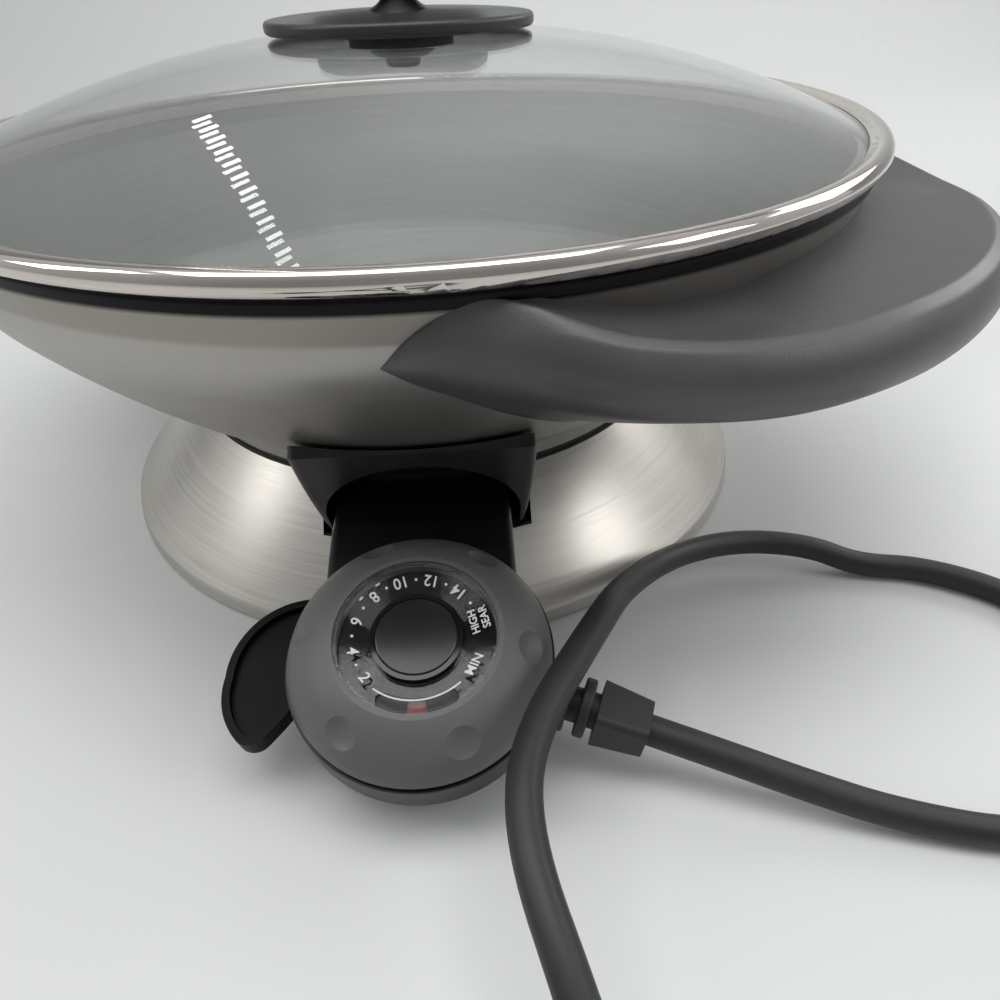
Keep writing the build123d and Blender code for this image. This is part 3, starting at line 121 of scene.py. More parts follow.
class Finish:
    """A node material being built: its tree, its Principled shader and its object coordinates."""

    def __init__(self, name, colour, roughness, metallic=0.0, **values):
        self.material = bpy.data.materials.new(name)
        self.material.use_nodes = True
        self.tree = self.material.node_tree
        self.tree.nodes.clear()
        self.shader = self.add("ShaderNodeBsdfPrincipled")
        self.output = self.add("ShaderNodeOutputMaterial")
        self.link(self.shader, "BSDF", self.output, "Surface")
        self.set("Base Color", (*colour, 1.0))
        self.set("Roughness", roughness)
        self.set("Metallic", metallic)
        for key, value in values.items():
            self.set(key.replace("_", " "), value)
        self.place = self.add("ShaderNodeTexCoord")

    def set(self, socket, value):
        self.shader.inputs[socket].default_value = value

    def add(self, kind, settings=None, **inputs):
        """New node, with its settings as a dict and its inputs by name."""
        node = self.tree.nodes.new(kind)
        for key, value in (settings or {}).items():
            setattr(node, key, value)
        for key, value in inputs.items():
            node.inputs[key.replace("_", " ")].default_value = value
        return node

    def link(self, node, socket, target, entry):
        self.tree.links.new(node.outputs[socket], target.inputs[entry])

    def noise(self, scale, detail, roughness=0.5, source=None):
        """Noise on the object coordinates, or on a source (node, socket)."""
        node = self.add("ShaderNodeTexNoise", Scale=scale, Detail=detail, Roughness=roughness)
        self.link(*(source or (self.place, "Object")), node, "Vector")
        return node

    def ramp(self, source, socket, start, end):
        """Colour ramp between two (place, colour) stops."""
        node = self.add("ShaderNodeValToRGB")
        for element, (place, colour) in zip(node.color_ramp.elements, (start, end)):
            element.position = place
            element.color = (*colour, 1.0)
        self.link(source, socket, node, "Fac")
        return node

    def span(self, source, socket, low, high, start=0.0, end=1.0):
        """Maps start..end of a value to low..high."""
        node = self.add("ShaderNodeMapRange", From_Min=start, From_Max=end, To_Min=low, To_Max=high)
        self.link(source, socket, node, "Value")
        return node

    def mix(self, factor, first, second):
        """Mix of two colours, each a (node, socket) or a plain colour, by a (node, socket) factor."""
        node = self.add("ShaderNodeMix", {"data_type": "RGBA"})
        self.link(*factor, node, mix_factor)
        for entry, value in ((mix_first, first), (mix_second, second)):
            if isinstance(value[0], bpy.types.Node):
                self.link(*value, node, entry)
            else:
                node.inputs[entry].default_value = (*value, 1.0)
        return node

    def math(self, operation, first, second=None):
        """Math node on (node, socket) pairs or plain numbers."""
        node = self.add("ShaderNodeMath", {"operation": operation})
        for entry, value in ((0, first), (1, second)):
            if isinstance(value, tuple):
                self.link(*value, node, entry)
            elif value is not None:
                node.inputs[entry].default_value = value
        return node

    def bump(self, source, socket, distance, strength):
        """Bump of the surface by a height in metres."""
        node = self.add("ShaderNodeBump", Strength=strength, Distance=distance)
        self.link(source, socket, node, "Height")
        self.link(node, "Normal", self.shader, "Normal")

    def brush_round(self):
        """Turns the stretched highlights to run round the Z axis."""
        turn = self.add("ShaderNodeTangent", {"direction_type": "RADIAL", "axis": "Z"})
        self.link(turn, "Tangent", self.shader, "Tangent")

    def round_axis(self, around, out, up):
        """Coordinates round the Z axis, angle, radius and height each times its own factor.

        Gives them with the radius and the plain coordinates they are made from.
        """
        split = self.add("ShaderNodeSeparateXYZ")
        self.link(self.place, "Object", split, "Vector")
        angle = self.math("ARCTAN2", (split, "Y"), (split, "X"))
        squares = [self.math("MULTIPLY", (split, axis), (split, axis)) for axis in "XY"]
        radius = self.math("SQRT", (self.math("ADD", (squares[0], "Value"), (squares[1], "Value")), "Value"))
        join = self.add("ShaderNodeCombineXYZ")
        turns = (("X", (angle, "Value"), around), ("Y", (radius, "Value"), out), ("Z", (split, "Z"), up))
        for entry, source, factor in turns:
            self.link(self.math("MULTIPLY", source, factor), "Value", join, entry)
        return join, radius, split


def moulded(name, colour, roughness, grain=900.0, depth=0.00006, mottle=0.12, **values):
    """Moulded plastic: fine spark-eroded grain, slight mottling of colour, and worn, shinier patches."""
    made = Finish(name, colour, roughness, **values)
    cloud = made.noise(28.0, 4.0)
    dark, light = ([v * (1 + sign * mottle) for v in colour] for sign in (-1, 1))
    tint = made.ramp(cloud, "Fac", (0.3, dark), (0.7, light))
    made.link(tint, "Color", made.shader, "Base Color")
    fine = made.noise(grain, 2.0, 0.6)
    gloss = made.span(cloud, "Fac", roughness - 0.06, roughness + 0.06, 0.3, 0.7)
    made.link(gloss, "Result", made.shader, "Roughness")
    made.bump(fine, "Fac", depth, 0.6)
    return made


def brushed(name, colour, roughness, around, fine, depth, anisotropy):
    """Sheet metal brushed round the axis: long faint streaks along the turn, with uneven gloss."""
    made = Finish(name, colour, roughness, 1.0, Anisotropic=anisotropy)
    rings = made.round_axis(around, fine, fine)[0]
    streak = made.noise(1.0, 2.0, 0.7, (rings, "Vector"))
    cloud = made.noise(14.0, 3.0)
    dark, light = [v * 0.9 for v in colour], [min(1.0, v * 1.06) for v in colour]
    tint = made.ramp(streak, "Fac", (0.3, dark), (0.7, light))
    made.link(tint, "Color", made.shader, "Base Color")
    halves = [(made.math("MULTIPLY", (part, "Fac"), 0.5), "Value") for part in (streak, cloud)]
    gloss = made.span(made.math("ADD", *halves), "Value", roughness - 0.06, roughness + 0.08, 0.3, 0.7)
    made.link(gloss, "Result", made.shader, "Roughness")
    made.bump(streak, "Fac", depth, 0.5)
    made.brush_round()
    return made


def polished(name, colour, roughness, scuff=60.0):
    """Polished or plated metal with faint cloudy scuffs."""
    made = Finish(name, colour, roughness, 1.0)
    cloud = made.noise(scuff, 5.0, 0.6)
    gloss = made.span(cloud, "Fac", max(0.02, roughness - 0.05), roughness + 0.08, 0.35, 0.7)
    made.link(gloss, "Result", made.shader, "Roughness")
    dark = [v * 0.93 for v in colour]
    tint = made.ramp(cloud, "Fac", (0.35, dark), (0.65, colour))
    made.link(tint, "Color", made.shader, "Base Color")
    return made


# ---------------------------------------------------------------- finishes
handle_plastic = moulded(
    "handle_plastic", (0.052, 0.051, 0.055), 0.42, grain=1400.0, depth=0.00008, Specular_IOR_Level=0.8,
)
knob_plastic = moulded("knob_plastic", (0.030, 0.030, 0.033), 0.36, grain=1500.0, depth=0.00005)
hood_plastic = moulded("hood_plastic", (0.024, 0.024, 0.026), 0.38, grain=1200.0)
pod_plastic = moulded("pod_plastic", (0.010, 0.010, 0.011), 0.36, grain=1200.0, Specular_IOR_Level=0.3)
lever_plastic = moulded("lever_plastic", (0.006, 0.005, 0.005), 0.5, grain=1100.0, Specular_IOR_Level=0.12)
dial_plastic = moulded("dial_plastic", (0.115, 0.113, 0.111), 0.48, grain=1500.0, depth=0.00005, mottle=0.05)
ring_plastic = moulded("dial_ring_plastic", (0.17, 0.17, 0.17), 0.30, grain=900.0, depth=0.00002)
gloss_black = moulded("gloss_black", (0.006, 0.006, 0.007), 0.12, grain=300.0, depth=0.000005, mottle=0.3)
cap_black = moulded("cap_black", (0.012, 0.012, 0.013), 0.22, grain=500.0, depth=0.00001)
rubber = moulded("cord_rubber", (0.019, 0.019, 0.021), 0.50, grain=700.0, depth=0.00005, mottle=0.15)
foot_rubber = moulded("foot_rubber", (0.012, 0.012, 0.012), 0.7, grain=600.0, depth=0.00012)
washer_black = moulded("washer_black", (0.015, 0.015, 0.016), 0.4)
ceramic = moulded("ceramic", (0.62, 0.58, 0.50), 0.62, grain=500.0, depth=0.00008)
dark_plastic = moulded("dark_plastic", (0.022, 0.022, 0.022), 0.45)

stand_steel = brushed(
    "brushed_stainless", (0.58, 0.555, 0.51), 0.32, around=2.0, fine=900.0, depth=0.000008, anisotropy=0.35,
)
rim_steel = polished("polished_stainless", (0.64, 0.59, 0.55), 0.07, 45.0)
plated_steel = polished("plated_steel", (0.60, 0.60, 0.60), 0.22)
screw_steel = polished("screw_steel", (0.52, 0.52, 0.53), 0.28)
sheath = polished("element_sheath", (0.30, 0.27, 0.25), 0.42)
brass = polished("contact_brass", (0.78, 0.60, 0.30), 0.25)


band_start, band_full = 0.1310, 0.1330  # heights between which the satin wall turns into the darker band
shaded_lip_start, shaded_lip_full = 0.1400, 0.1413  # and the band into the black lip, the coating's own dark grey painted down to near black as shadow of the gap under the lid's rim


def bowl_coating():
    """Cast aluminium: turned, non-stick inside, satin outside with a darker upright band and a black lip. The
    lip's near black is partly the coating's own dark grey and partly painted shadow of the gap under the
    lid's rim.

    A face counts as outside where its normal points away from the axis or down.
    """
    made = Finish("coated_aluminium", (0.30, 0.29, 0.27), 0.4, 0.85, Anisotropic=0.5)
    rings, radius, split = made.round_axis(0.9, 1500.0, 1500.0)
    fine = made.noise(1.0, 3.0, 0.7, (rings, "Vector"))
    cloud = made.noise(10.0, 4.0)
    normal = made.add("ShaderNodeNewGeometry")
    facing = made.add("ShaderNodeSeparateXYZ")
    made.link(normal, "Normal", facing, "Vector")
    products = [(made.math("MULTIPLY", (split, axis), (facing, axis)), "Value") for axis in "XY"]
    outward = made.math("ADD", *products)
    outward = made.math("DIVIDE", (outward, "Value"), (radius, "Value"))
    outward = made.math("SUBTRACT", (outward, "Value"), (facing, "Z"))
    outside = made.span(outward, "Value", 0.0, 1.0, -0.05, 0.15)
    inner = made.ramp(fine, "Fac", (0.3, (0.165, 0.162, 0.160)), (0.7, (0.215, 0.212, 0.208)))
    outer = made.ramp(cloud, "Fac", (0.3, (0.40, 0.385, 0.36)), (0.7, (0.46, 0.445, 0.42)))
    band = made.span(split, "Z", 0.0, 1.0, band_start, band_full)
    lip = made.span(split, "Z", 0.0, 1.0, shaded_lip_start, shaded_lip_full)
    outer = made.mix((band, "Result"), (outer, "Color"), (0.33, 0.305, 0.275))
    both = made.mix((outside, "Result"), (inner, "Color"), (outer, mix_result))
    # painted shadow: above the lip heights the colour goes to near black, standing in for the shade of the
    # gap under the lid's rim over the dark coating
    dark = made.mix((lip, "Result"), (both, mix_result), (0.012, 0.012, 0.012))
    made.link(dark, mix_result, made.shader, "Base Color")
    satin = made.span(cloud, "Fac", 0.36, 0.46, 0.3, 0.7)
    dull = made.span(outside, "Result", 0.16, 0.0)
    made.link(made.math("ADD", (satin, "Result"), (dull, "Result")), "Value", made.shader, "Roughness")
    made.link(made.span(outside, "Result", 0.3, 0.85), "Result", made.shader, "Metallic")
    made.bump(fine, "Fac", 0.00002, 0.4)
    made.brush_round()
    return made


def clear(name, tint, roughness, ior=1.5):
    """Clear glass or plastic that lets the lamps' light through to what it covers."""
    made = Finish(name, tint, roughness, Transmission_Weight=1.0, IOR=ior)
    smear = made.noise(18.0, 4.0)
    haze = made.span(smear, "Fac", roughness, roughness + 0.02, 0.5, 0.75)
    made.link(haze, "Result", made.shader, "Roughness")
    through = made.add("ShaderNodeBsdfTransparent", Color=(*[v * 0.97 for v in tint], 1.0))
    rays = made.add("ShaderNodeLightPath")
    choose = made.add("ShaderNodeMixShader")
    made.link(rays, "Is Shadow Ray", choose, "Fac")
    made.link(made.shader, "BSDF", choose, 1)
    made.link(through, "BSDF", choose, 2)
    made.link(choose, "Shader", made.output, "Surface")
    return made


coating = bowl_coating()
lid_clear = clear("lid_glass", (0.965, 0.985, 0.975), 0.0)
window_clear = clear("clear_window", (0.97, 0.97, 0.97), 0.02, 1.18)
lamp_clear = clear("lamp_glass", (0.98, 0.90, 0.84), 0.05)
red_lens = clear("red_lens", (0.75, 0.06, 0.03), 0.15)
white_ink = moulded("white_ink", (0.78, 0.78, 0.77), 0.45, grain=600.0, depth=0.00001, mottle=0.03)

finishes = {
    coating: ["wok_bowl"],
    stand_steel: ["stand_shell"],
    dark_plastic: ["stand_frame", "lock_cup", "lock_spindle", "probe_contact_block", "thermostat"],
    foot_rubber: ["stand_foot_ring"],
    sheath: ["heating_element"],
    brass: ["terminal_pins", "probe_contacts", "plug_blades", "plug_ground_pin"],
    ceramic: ["terminal_block"],
    plated_steel: [
        "sensor_guide_tube", "sensor_rod", "lock_knob", "lid_nut", "lever_pin", "lever_spring",
        "right_handle_bracket", "left_handle_bracket",
    ],
    hood_plastic: ["probe_socket_hood"],
    screw_steel: ["hood_screws", "right_handle_screws", "left_handle_screws", "knob_screw", "probe_screws"],
    handle_plastic: ["right_handle_grip", "left_handle_grip"],
    lid_clear: ["lid_glass"],
    rim_steel: ["lid_rim"],
    washer_black: ["lid_lower_washer", "lid_vent_washer"],
    knob_plastic: ["knob_wing", "knob_post", "knob_grip"],
    pod_plastic: ["probe_upper_housing", "probe_lower_housing"],
    red_lens: ["indicator_lens"],
    lamp_clear: ["indicator_lamp"],
    rubber: ["cord_bend_relief", "cord_sleeve", "plug_body"],
    dial_plastic: ["dial_skirt"],
    window_clear: ["dial_window"],
    gloss_black: ["dial_hub"],
    cap_black: ["dial_cap", "coil_tie"],
    ring_plastic: ["dial_shaft"],
    lever_plastic: ["release_lever"],
}
for finish, names in finishes.items():
    for node_name in names:
        dress(nodes[node_name], finish)


# ---------------------------------------------------------------- cord
cord_diameter = 9.3 * MM
cord_rest = 4.65  # height of the cord's middle where it lies on the table, in millimetres
sleeve_end = (66.18, -204.13, 18.95)
free_run = [  # millimetres, out to the right, round, over the bend relief and down to the table in front
    sleeve_end, (88.31, -212.63, 15.19), (109.0, -219.9, 10.4), (134.0, -228.7, 6.0),
    (168.0, -237.5, cord_rest), (200.7, -232.9, cord_rest), (225.9, -211.2, cord_rest),
    (233.8, -178.7, cord_rest), (221.6, -147.0, cord_rest), (194.5, -128.5, cord_rest),
    (168.8, -124.4, cord_rest), (150.5, -118.4, 11.1), (121.0, -116.5, 14.4), (91.0, -129.4, 20.0),
    (66.4, -157.8, 32.9), (52.2, -186.6, 46.0), (29.2, -222.3, 46.0), (25.3, -247.7, 43.9),
    (35.5, -283.0, 37.0), (44.1, -309.9, 17.0), (52.2, -330.4, 7.0),
]
coil_centre = (6.0, -364.0)
coil_lanes = (  # degrees travelled clockwise from the entry, radius and height in millimetres
    (0, 56.0, 4.65), (40, 57.1, 4.65), (205, 57.1, 4.65), (290, 46.8, 4.65), (500, 47.4, 4.65),
    (570, 51.5, 13.9), (650, 52.2, 14.4), (695, 51.2, 15.4), (740, 52.0, 12.8), (870, 52.2, 12.7),
)
coil_entry = 7.6  # azimuth in degrees
coil_length = 866.0  # degrees from the entry to the start of the tail
coil_step = 22.5  # degrees between control points, 16 to a turn
travelled = np.arange(0.0, coil_length, coil_step)
stations, lane_radii, lane_heights = np.array(coil_lanes).T
turn_radius = np.interp(travelled, stations, lane_radii) / cos(radians(coil_step / 2))
azimuth = np.radians(coil_entry - travelled)
coil_points = np.stack([
    coil_centre[0] + turn_radius * np.cos(azimuth),
    coil_centre[1] + turn_radius * np.sin(azimuth),
    np.interp(travelled, stations, lane_heights),
], axis=1)
tail_run = [(-48.6, -368.0, 12.8), (-60.0, -347.0, 13.0), (-72.0, -331.0, 13.0)]

cord_points = np.vstack([free_run, coil_points, tail_run]) * MM
cord_curve = bpy.data.curves.new("mains_cord", "CURVE")
cord_curve.dimensions = "3D"
cord_spline = cord_curve.splines.new("NURBS")
cord_spline.points.add(len(cord_points) - 1)
cord_spline.points.foreach_set("co", np.column_stack([cord_points, np.ones(len(cord_points))]).ravel())
cord_spline.order_u = 3
cord_spline.use_endpoint_u = True
cord_curve.resolution_u = 10
cord_curve.bevel_depth = cord_diameter / 2
cord_curve.bevel_resolution = 6
cord_curve.use_fill_caps = True
cord = bpy.data.objects.new("mains_cord", cord_curve)
scene.collection.objects.link(cord)
dress(cord, rubber)
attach(cord, "heat_control")
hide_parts("cord", "cord_coil", "cord_tail")


# ---------------------------------------------------------------- lid glass, in millimetres
glass_edge_radius = 174.6
glass_hole_radius = 3.05
glass_thickness = 3.6
dome_base = 148.6  # height at the full radius
dome_rise = 33.6
dome_radius = 176.5
dome_power = 2.2


def dome_height(radius):
    """Height of the dome's outer face: base + rise (1 - (r / full radius)^power)."""
    return dome_base + dome_rise * (1 - (radius / dome_radius) ** dome_power)


outwards = np.linspace(glass_hole_radius, glass_edge_radius, 90)
inwards = outwards[::-1]
glass_section = np.vstack([
    np.column_stack([outwards, dome_height(outwards) - glass_thickness]),
    np.column_stack([inwards, dome_height(inwards)]),
]) * MM
lid_dome = turned("lid_dome", glass_section, 360, 35.0)
dress(lid_dome, lid_clear)
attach(lid_dome, "lid")
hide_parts("lid_glass")


# ---------------------------------------------------------------- handles, in millimetres
handle_azimuth = radians(-38.0)
handle_centre = 84.0  # the handle's arc is drawn about this point, on its own X axis
handle_end = 81.2  # degrees from the handle's middle to its tips
wall_inset = 1.5  # how far the handle reaches into the bowl's wall
band_radius = 174.0  # the bowl's band, where the dished top starts
band_height, band_swell = 135.5, 6.9  # height of that line at the handle's middle, and its rise to the tips
swell_reach = 122.0  # distance from the handle's middle at which the rise is complete
dish_depth = 0.8
under_slope, under_steepening = 0.31, 0.55  # fall of the underside at the middle, and what the tips add
under_reach = 20.0  # radius the search for the bowl's wall runs in to
lip_softness = 3.2
rounding_passes = 70
handle_stations = np.array([
    # degrees, crest radius and height, lip radius and height, bulge of the wall, softness of the crest
    (0, 133.5, 134.0, 132.0, 108.8, 6.5, 0.9), (25, 133.5, 133.2, 132.0, 108.8, 6.5, 0.9),
    (40, 133.5, 132.1, 132.0, 109.0, 6.5, 0.9), (50, 133.5, 133.6, 132.0, 111.1, 6.5, 0.9),
    (57, 133.3, 135.9, 132.0, 112.5, 6.5, 1.1), (62, 132.6, 139.2, 132.0, 113.6, 6.5, 2.0),
    (66, 131.6, 142.1, 132.0, 115.3, 6.5, 4.5), (70, 131.4, 143.6, 132.3, 117.0, 6.2, 9.0),
    (73, 133.9, 142.4, 133.1, 118.4, 5.4, 8.0), (76, 136.8, 138.0, 134.5, 120.2, 3.8, 5.0),
    (79, 138.3, 131.9, 137.0, 122.3, 1.6, 2.5), (81.2, 139.3, 125.8, 139.0, 124.9, 0.2, 0.8),
])


belly_arc = (-65.82, 288.13, 291.283)  # radius and height of the arc's centre, and the arc's own radius
shoulder_arc = (132.61, 138.60, 42.816)
shoulder_foot = 112.83  # heights at which the shoulder takes over from the belly, and the band from it
band_foot, band_foot_radius, band_flare = 131.9, 174.9, 0.354


def arc_radius(height, arc):
    """Distance from the axis to an arc at a height: r = c + sqrt(R^2 - (h - z)^2)."""
    centre_radius, centre_height, radius = arc
    return centre_radius + np.sqrt(np.maximum(radius**2 - (centre_height - height) ** 2, 0.0))


def bowl_radius(height):
    """Outer radius of the bowl at a height: belly arc, shoulder arc, and the flared band above."""
    band = band_foot_radius + (height - band_foot) * band_flare
    above_belly = np.where(height < band_foot, arc_radius(height, shoulder_arc), band)
    return np.where(height < shoulder_foot, arc_radius(height, belly_arc), above_belly)


def smooth_between(at, places, values):
    """Cubic through the values at their places, with slopes m and n from the neighbours:
    (2t^3 - 3t^2 + 1) a + (t^3 - 2t^2 + t) h m + (3t^2 - 2t^3) b + (t^3 - t^2) h n."""
    slopes = np.gradient(values, places)
    i = np.clip(np.searchsorted(places, at) - 1, 0, len(places) - 2)
    step = places[i + 1] - places[i]
    t = (at - places[i]) / step
    return (
        (2 * t**3 - 3 * t**2 + 1) * values[i] + (t**3 - 2 * t**2 + t) * step * slopes[i]
        + (3 * t**2 - 2 * t**3) * values[i + 1] + (t**3 - t**2) * step * slopes[i + 1]
    )


def reach_of(bowl_distance, turn):
    """Distance from the handle's centre c to a circle about the bowl's axis:
    sqrt(r^2 - c^2 sin^2 a) - c cos a."""
    return np.sqrt(bowl_distance**2 - (handle_centre * np.sin(turn)) ** 2) - handle_centre * np.cos(turn)


def handle_surface(name, azimuth):
    """Crescent grip: sections on rays about the handle's centre, from the bowl's band out over the
    dished top to the crest, down the bulged wall u with r = lerp + 4 b u (1 - u) to the lip, back along
    the underside, and up inside the bowl's wall. The crest and the lip are then rounded by averaging."""
    degrees_out = handle_end * np.sin(np.linspace(-pi / 2, pi / 2, 241))
    turn = np.radians(degrees_out)[:, None]
    places, *rows_of_values = handle_stations.T
    crest_r, crest_z, lip_r, lip_z, bulge, softness = (
        smooth_between(np.abs(degrees_out), places, values)[:, None] for values in rows_of_values
    )

    # the top of the bowl's wall inside the grip, the dished top and the bulged wall
    sideways = np.abs(reach_of(band_radius, turn) * np.sin(turn))
    swell = (1 - np.cos(pi * np.minimum(sideways, swell_reach) / swell_reach)) / 2
    band_z = np.minimum(band_height + band_swell * swell, crest_z + 0.4)
    band_r = reach_of(bowl_radius(band_z) - wall_inset, turn)
    out = np.linspace(0.0, 1.0, 44)[None, :] ** 0.8
    dish_r = band_r + (crest_r - band_r) * out
    dish_z = band_z + (crest_z - band_z) * out - dish_depth * np.sin(pi * out)
    down = np.linspace(0.0, 1.0, 34)[None, 1:]
    wall_r = crest_r + (lip_r - crest_r) * down + 4 * bulge * down * (1 - down)
    wall_z = crest_z + (lip_z - crest_z) * down

    # the underside, which runs inwards until it meets the bowl, and the way back up inside the wall
    fall = under_slope + under_steepening * (np.abs(turn) / radians(79.0)) ** 2.5
    probe = np.linspace(0.0, 1.0, 600)[None, :]
    probe_r = lip_r * (1 - probe) + under_reach * probe
    probe_z = lip_z - fall * (lip_r - probe_r)
    distance = np.sqrt(handle_centre**2 + probe_r**2 + 2 * handle_centre * probe_r * np.cos(turn))
    first = np.argmax(distance <= bowl_radius(probe_z) - wall_inset, axis=1)
    root_r = probe_r[np.arange(len(first)), first][:, None]
    back = np.linspace(0.0, 1.0, 32)[None, 1:]
    under_r = lip_r + (root_r - lip_r) * back
    under_z = lip_z - fall * (lip_r - under_r)
    up = np.linspace(0.0, 1.0, 16)[None, 1:-1]
    inside_z = under_z[:, -1:] + (band_z - under_z[:, -1:]) * up
    inside_r = reach_of(bowl_radius(inside_z) - wall_inset, turn)

    # the crest and the lip are rounded: points near them move towards their neighbours' middle
    ring = np.stack([
        np.concatenate([dish_r, wall_r, under_r, inside_r], axis=1),
        np.concatenate([dish_z, wall_z, under_z, inside_z], axis=1),
    ], axis=-1)
    crest_column = dish_r.shape[1] - 1
    lip_column = crest_column + wall_r.shape[1]
    shown = lip_column + 1 + under_r.shape[1]
    skin = ring[:, :shown]  # a view, so rounding it rounds the ring
    steps = np.linalg.norm(np.diff(skin, axis=1), axis=-1)
    along = np.concatenate([np.zeros((len(ring), 1)), np.cumsum(steps, axis=1)], axis=1)
    from_crest = (along - along[:, [crest_column]]) / softness
    from_lip = (along - along[:, [lip_column]]) / lip_softness
    soft = 0.5 * np.minimum(np.exp(-(from_crest**2)) + np.exp(-(from_lip**2)), 1.0)[:, 1:-1, None]
    for _ in range(rounding_passes):
        middle = (skin[:, :-2] + skin[:, 2:]) / 2
        skin[:, 1:-1] += soft * (middle - skin[:, 1:-1])

    # the sections go round the handle's centre, and the handle to its place round the bowl
    local_x = handle_centre + ring[:, :, 0] * np.cos(turn)
    local_y = ring[:, :, 0] * np.sin(turn)
    points = np.stack([
        local_x * cos(azimuth) - local_y * sin(azimuth),
        local_x * sin(azimuth) + local_y * cos(azimuth),
        ring[:, :, 1],
    ], axis=-1) * MM
    rows, columns = ring.shape[:2]
    last = (rows - 1) * columns
    faces = grid_faces(rows, columns, False, True)[:, ::-1].tolist()
    faces += [list(range(columns)), [last + columns - 1 - i for i in range(columns)]]
    return put(name, points, faces, 50.0)


for side_name, azimuth in (("right", handle_azimuth), ("left", handle_azimuth + pi)):
    shaped = handle_surface(f"{side_name}_handle_skin", azimuth)
    dress(shaped, handle_plastic)
    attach(shaped, "base")
    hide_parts(f"{side_name}_handle_grip")


# ---------------------------------------------------------------- dial lettering
dial_tilt = radians(16.8)
dial_origin = np.array([0.0, -186.0, 38.0]) * MM
dial_axes = np.array([
    [1, 0, 0],
    [0, cos(dial_tilt), sin(dial_tilt)],
    [0, -sin(dial_tilt), cos(dial_tilt)],
])
window_inner, window_inner_height = 14.0, 10.4  # millimetres
window_slope = 2.4 / 8.5


def on_dial(local):
    """Moves points from the dial's own frame, in metres, to their place."""
    return dial_origin + local @ dial_axes


def window_height(radius):
    """Height of the window's top face over the dial's plane: it climbs outwards along a cone."""
    return (window_inner_height + (radius / MM - window_inner) * window_slope) * MM


def dial_text(text, size, place, radius):
    """One raised word on the dial window as (points, faces): its plan is turned a quarter turn past
    its place, moved out to it, and its height follows the window's cone."""
    curve = bpy.data.curves.new(text, "FONT")
    curve.body = text
    curve.size = size * MM
    curve.align_x, curve.align_y = "CENTER", "CENTER"
    curve.extrude = 0.03 * MM
    curve.offset = 0.05 * MM
    scratch = bpy.data.objects.new(text, curve)
    scene.collection.objects.link(scratch)
    bpy.context.view_layer.update()
    mesh = bpy.data.meshes.new_from_object(scratch.evaluated_get(bpy.context.evaluated_depsgraph_get()))
    points = np.empty(len(mesh.vertices) * 3)
    mesh.vertices.foreach_get("co", points)
    points = points.reshape(-1, 3)
    faces = [list(face.vertices) for face in mesh.polygons]
    bpy.data.objects.remove(scratch)
    bpy.data.meshes.remove(mesh)
    angle, spin = radians(place), radians(place + 90)
    flat = points[:, :2] @ np.array([[cos(spin), sin(spin)], [-sin(spin), cos(spin)]])
    flat += np.array([cos(angle), sin(angle)]) * radius * MM
    height = window_height(np.hypot(flat[:, 0], flat[:, 1])) + 0.04 * MM + points[:, 2]
    return on_dial(np.column_stack([flat, height])), faces


def dial_band(start, end, inner, outer, count):
    """Thin raised arc on the dial window between two angles and two radii, as (points, faces)."""
    angle = np.radians(np.linspace(start, end, count))[:, None]
    radius = np.array([inner, outer, outer, inner]) * MM
    lift = np.array([0.01, 0.01, 0.07, 0.07]) * MM
    local = np.stack([
        radius * np.cos(angle),
        radius * np.sin(angle),
        np.broadcast_to(window_height(radius) + lift, (count, 4)),
    ], axis=-1)
    last = 4 * count
    faces = grid_faces(count, 4, False, True).tolist()
    faces += [[3, 2, 1, 0], [last - 4, last - 3, last - 2, last - 1]]
    return on_dial(local.reshape(-1, 3)), faces


def joined(name, parts):
    """One object of several (points, faces) pairs."""
    points, faces, start = [], [], 0
    for part_points, part_faces in parts:
        points.append(part_points)
        faces += [[start + v for v in face] for face in part_faces]
        start += len(part_points)
    return put(name, np.vstack(points), faces)


number_size, number_radius = 4.6, 18.4
number_places = {"2": 219, "4": 191, "6": 162, "8": 133, "10": 105, "12": 76, "14": 47}
words = [("HIGH", 3.2, 12, 17.0), ("SEAR", 3.2, 13, 20.3), ("MIN", 3.9, -31, 19.0)]
dot_places = (205, 176.5, 147.5, 119, 90.5, 61.5, 31)
dot_half, dot_inner, dot_outer = 1.1, 18.1, 18.8
dash_places = (124, 142)  # to either side of the 8
dash_half, dash_inner, dash_outer = 2, 20.4, 20.9
lettering = [dial_text(text, number_size, place, number_radius) for text, place in number_places.items()]
lettering += [dial_text(*word) for word in words]
lettering += [
    dial_band(place - dot_half, place + dot_half, dot_inner, dot_outer, 4) for place in dot_places
]
lettering += [
    dial_band(place - dash_half, place + dash_half, dash_inner, dash_outer, 6) for place in dash_places
]
lettering += [dial_band(-128, -50, 18.9, 19.4, 40)]  # the long arc between MIN and 2
numerals = joined("dial_numerals", lettering)
dress(numerals, white_ink)
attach(numerals, "dial")

# ---------------------------------------------------------------- floor and backdrop
sweep_start, sweep_radius = 0.9, 0.5  # the paper lies flat as far as this, then curves up
half_width = 4.0
sweep_turn = np.radians(np.arange(10, 91, 10))
sweep_curve = np.column_stack([
    sweep_start + sweep_radius * np.sin(sweep_turn),
    sweep_radius - sweep_radius * np.cos(sweep_turn),
])
sweep_profile = np.vstack([
    [(-3.0, 0.0), (-2.9, 0.0), (sweep_start, 0.0)],
    sweep_curve,
    [(sweep_start + sweep_radius, 2.5)],
])
backdrop_points = np.stack([
    np.stack([np.full(len(sweep_profile), x), sweep_profile[:, 0], sweep_profile[:, 1]], axis=-1)
    for x in (-half_width, half_width)
], axis=1)
backdrop = put("backdrop", backdrop_points, grid_faces(len(sweep_profile), 2).tolist(), 180.0)
paper = Finish("backdrop_paper", (0.72, 0.73, 0.72), 0.32, Specular_IOR_Level=0.35)
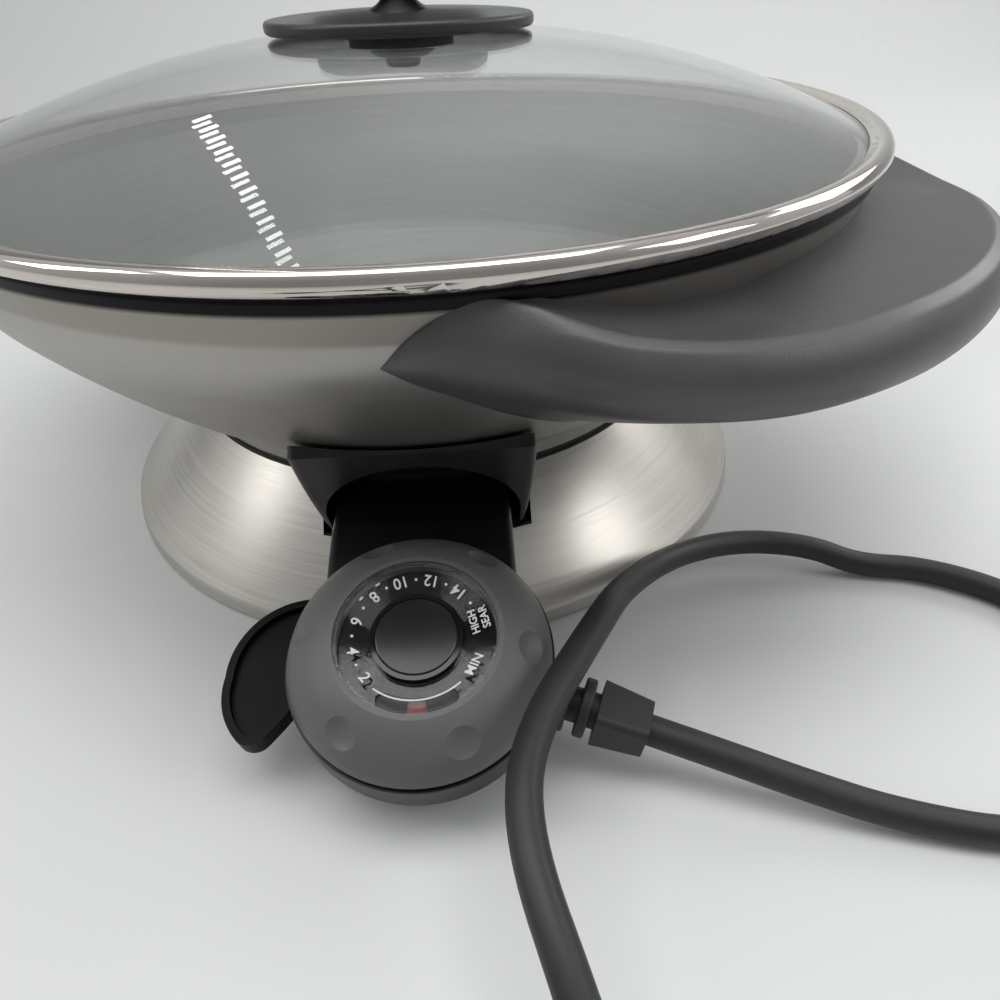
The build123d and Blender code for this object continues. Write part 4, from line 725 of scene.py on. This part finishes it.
wave = paper.noise(3.0, 2.0)
paper.link(paper.span(wave, "Fac", 0.26, 0.40, 0.3, 0.7), "Result", paper.shader, "Roughness")
paper.bump(paper.noise(9.0, 3.0), "Fac", 0.0008, 0.25)
dress(backdrop, paper)


# ---------------------------------------------------------------- light
def lamp(name, place, aim, width, depth, power):
    """Rectangular soft lamp at a place, facing a point, with its sizes in metres and its power in watts."""
    data = bpy.data.lights.new(name, "AREA")
    data.shape = "RECTANGLE"
    data.size, data.size_y = width, depth
    data.energy = power
    made = bpy.data.objects.new(name, data)
    away = np.array(place) - np.array(aim)
    away = away / np.linalg.norm(away)
    side = np.cross([0.0, 1.0, 0.0] if abs(away[2]) > 0.9 else [0.0, 0.0, 1.0], away)
    side = side / np.linalg.norm(side)
    up = np.cross(away, side)
    made.matrix_world = Matrix([*np.array([side, up, away, place]).T.tolist(), [0, 0, 0, 1]])
    scene.collection.objects.link(made)


# name, place, point it faces, width, depth, power
lamp("overhead_lamp", (-0.1, -0.15, 1.5), (0.0, -0.05, 0.05), 1.7, 0.7, 12.0)
lamp("side_lamp", (1.15, -0.45, 0.9), (0.0, -0.05, 0.08), 0.5, 0.5, 2.6)
lamp("window_lamp", (1.3, 0.55, 0.8), (0.25, -0.1, 0.0), 0.8, 0.6, 5.0)
lamp("backdrop_lamp", (0.4, 0.75, 1.3), (0.5, 1.4, 0.9), 1.4, 0.5, 4.0)
lamp("left_lamp", (-1.05, -0.2, 0.85), (0.0, -0.05, 0.05), 0.25, 0.6, 2.2)

# a row of small lamps, which the glass mirrors as a bright streak
strip_low, strip_high = np.array([-0.52, 0.95, 0.77]), np.array([-0.37, 0.41, 1.255])
for step, share in enumerate(np.linspace(0.0, 1.0, 12)):
    place = strip_low + (strip_high - strip_low) * share
    lamp(f"strip_lamp_{step}", place, (-0.03, -0.14, 0.16), 0.045, 0.016, 0.02)


# ---------------------------------------------------------------- room
# The room is dimmer towards the front and brighter towards the back.
world = bpy.data.worlds.new("studio")
scene.world = world
world.use_nodes = True
sky = world.node_tree
background = sky.nodes["Background"]
direction = sky.nodes.new("ShaderNodeTexCoord")
split_sky = sky.nodes.new("ShaderNodeSeparateXYZ")
sky.links.new(direction.outputs["Generated"], split_sky.inputs[0])
bright = sky.nodes.new("ShaderNodeMapRange")
for key, value in (("From Min", -0.8), ("From Max", 0.5), ("To Min", 0.28), ("To Max", 0.72)):
    bright.inputs[key].default_value = value
sky.links.new(split_sky.outputs["Y"], bright.inputs["Value"])
sky.links.new(bright.outputs["Result"], background.inputs["Strength"])
background.inputs["Color"].default_value = (0.97, 0.985, 1.0, 1.0)
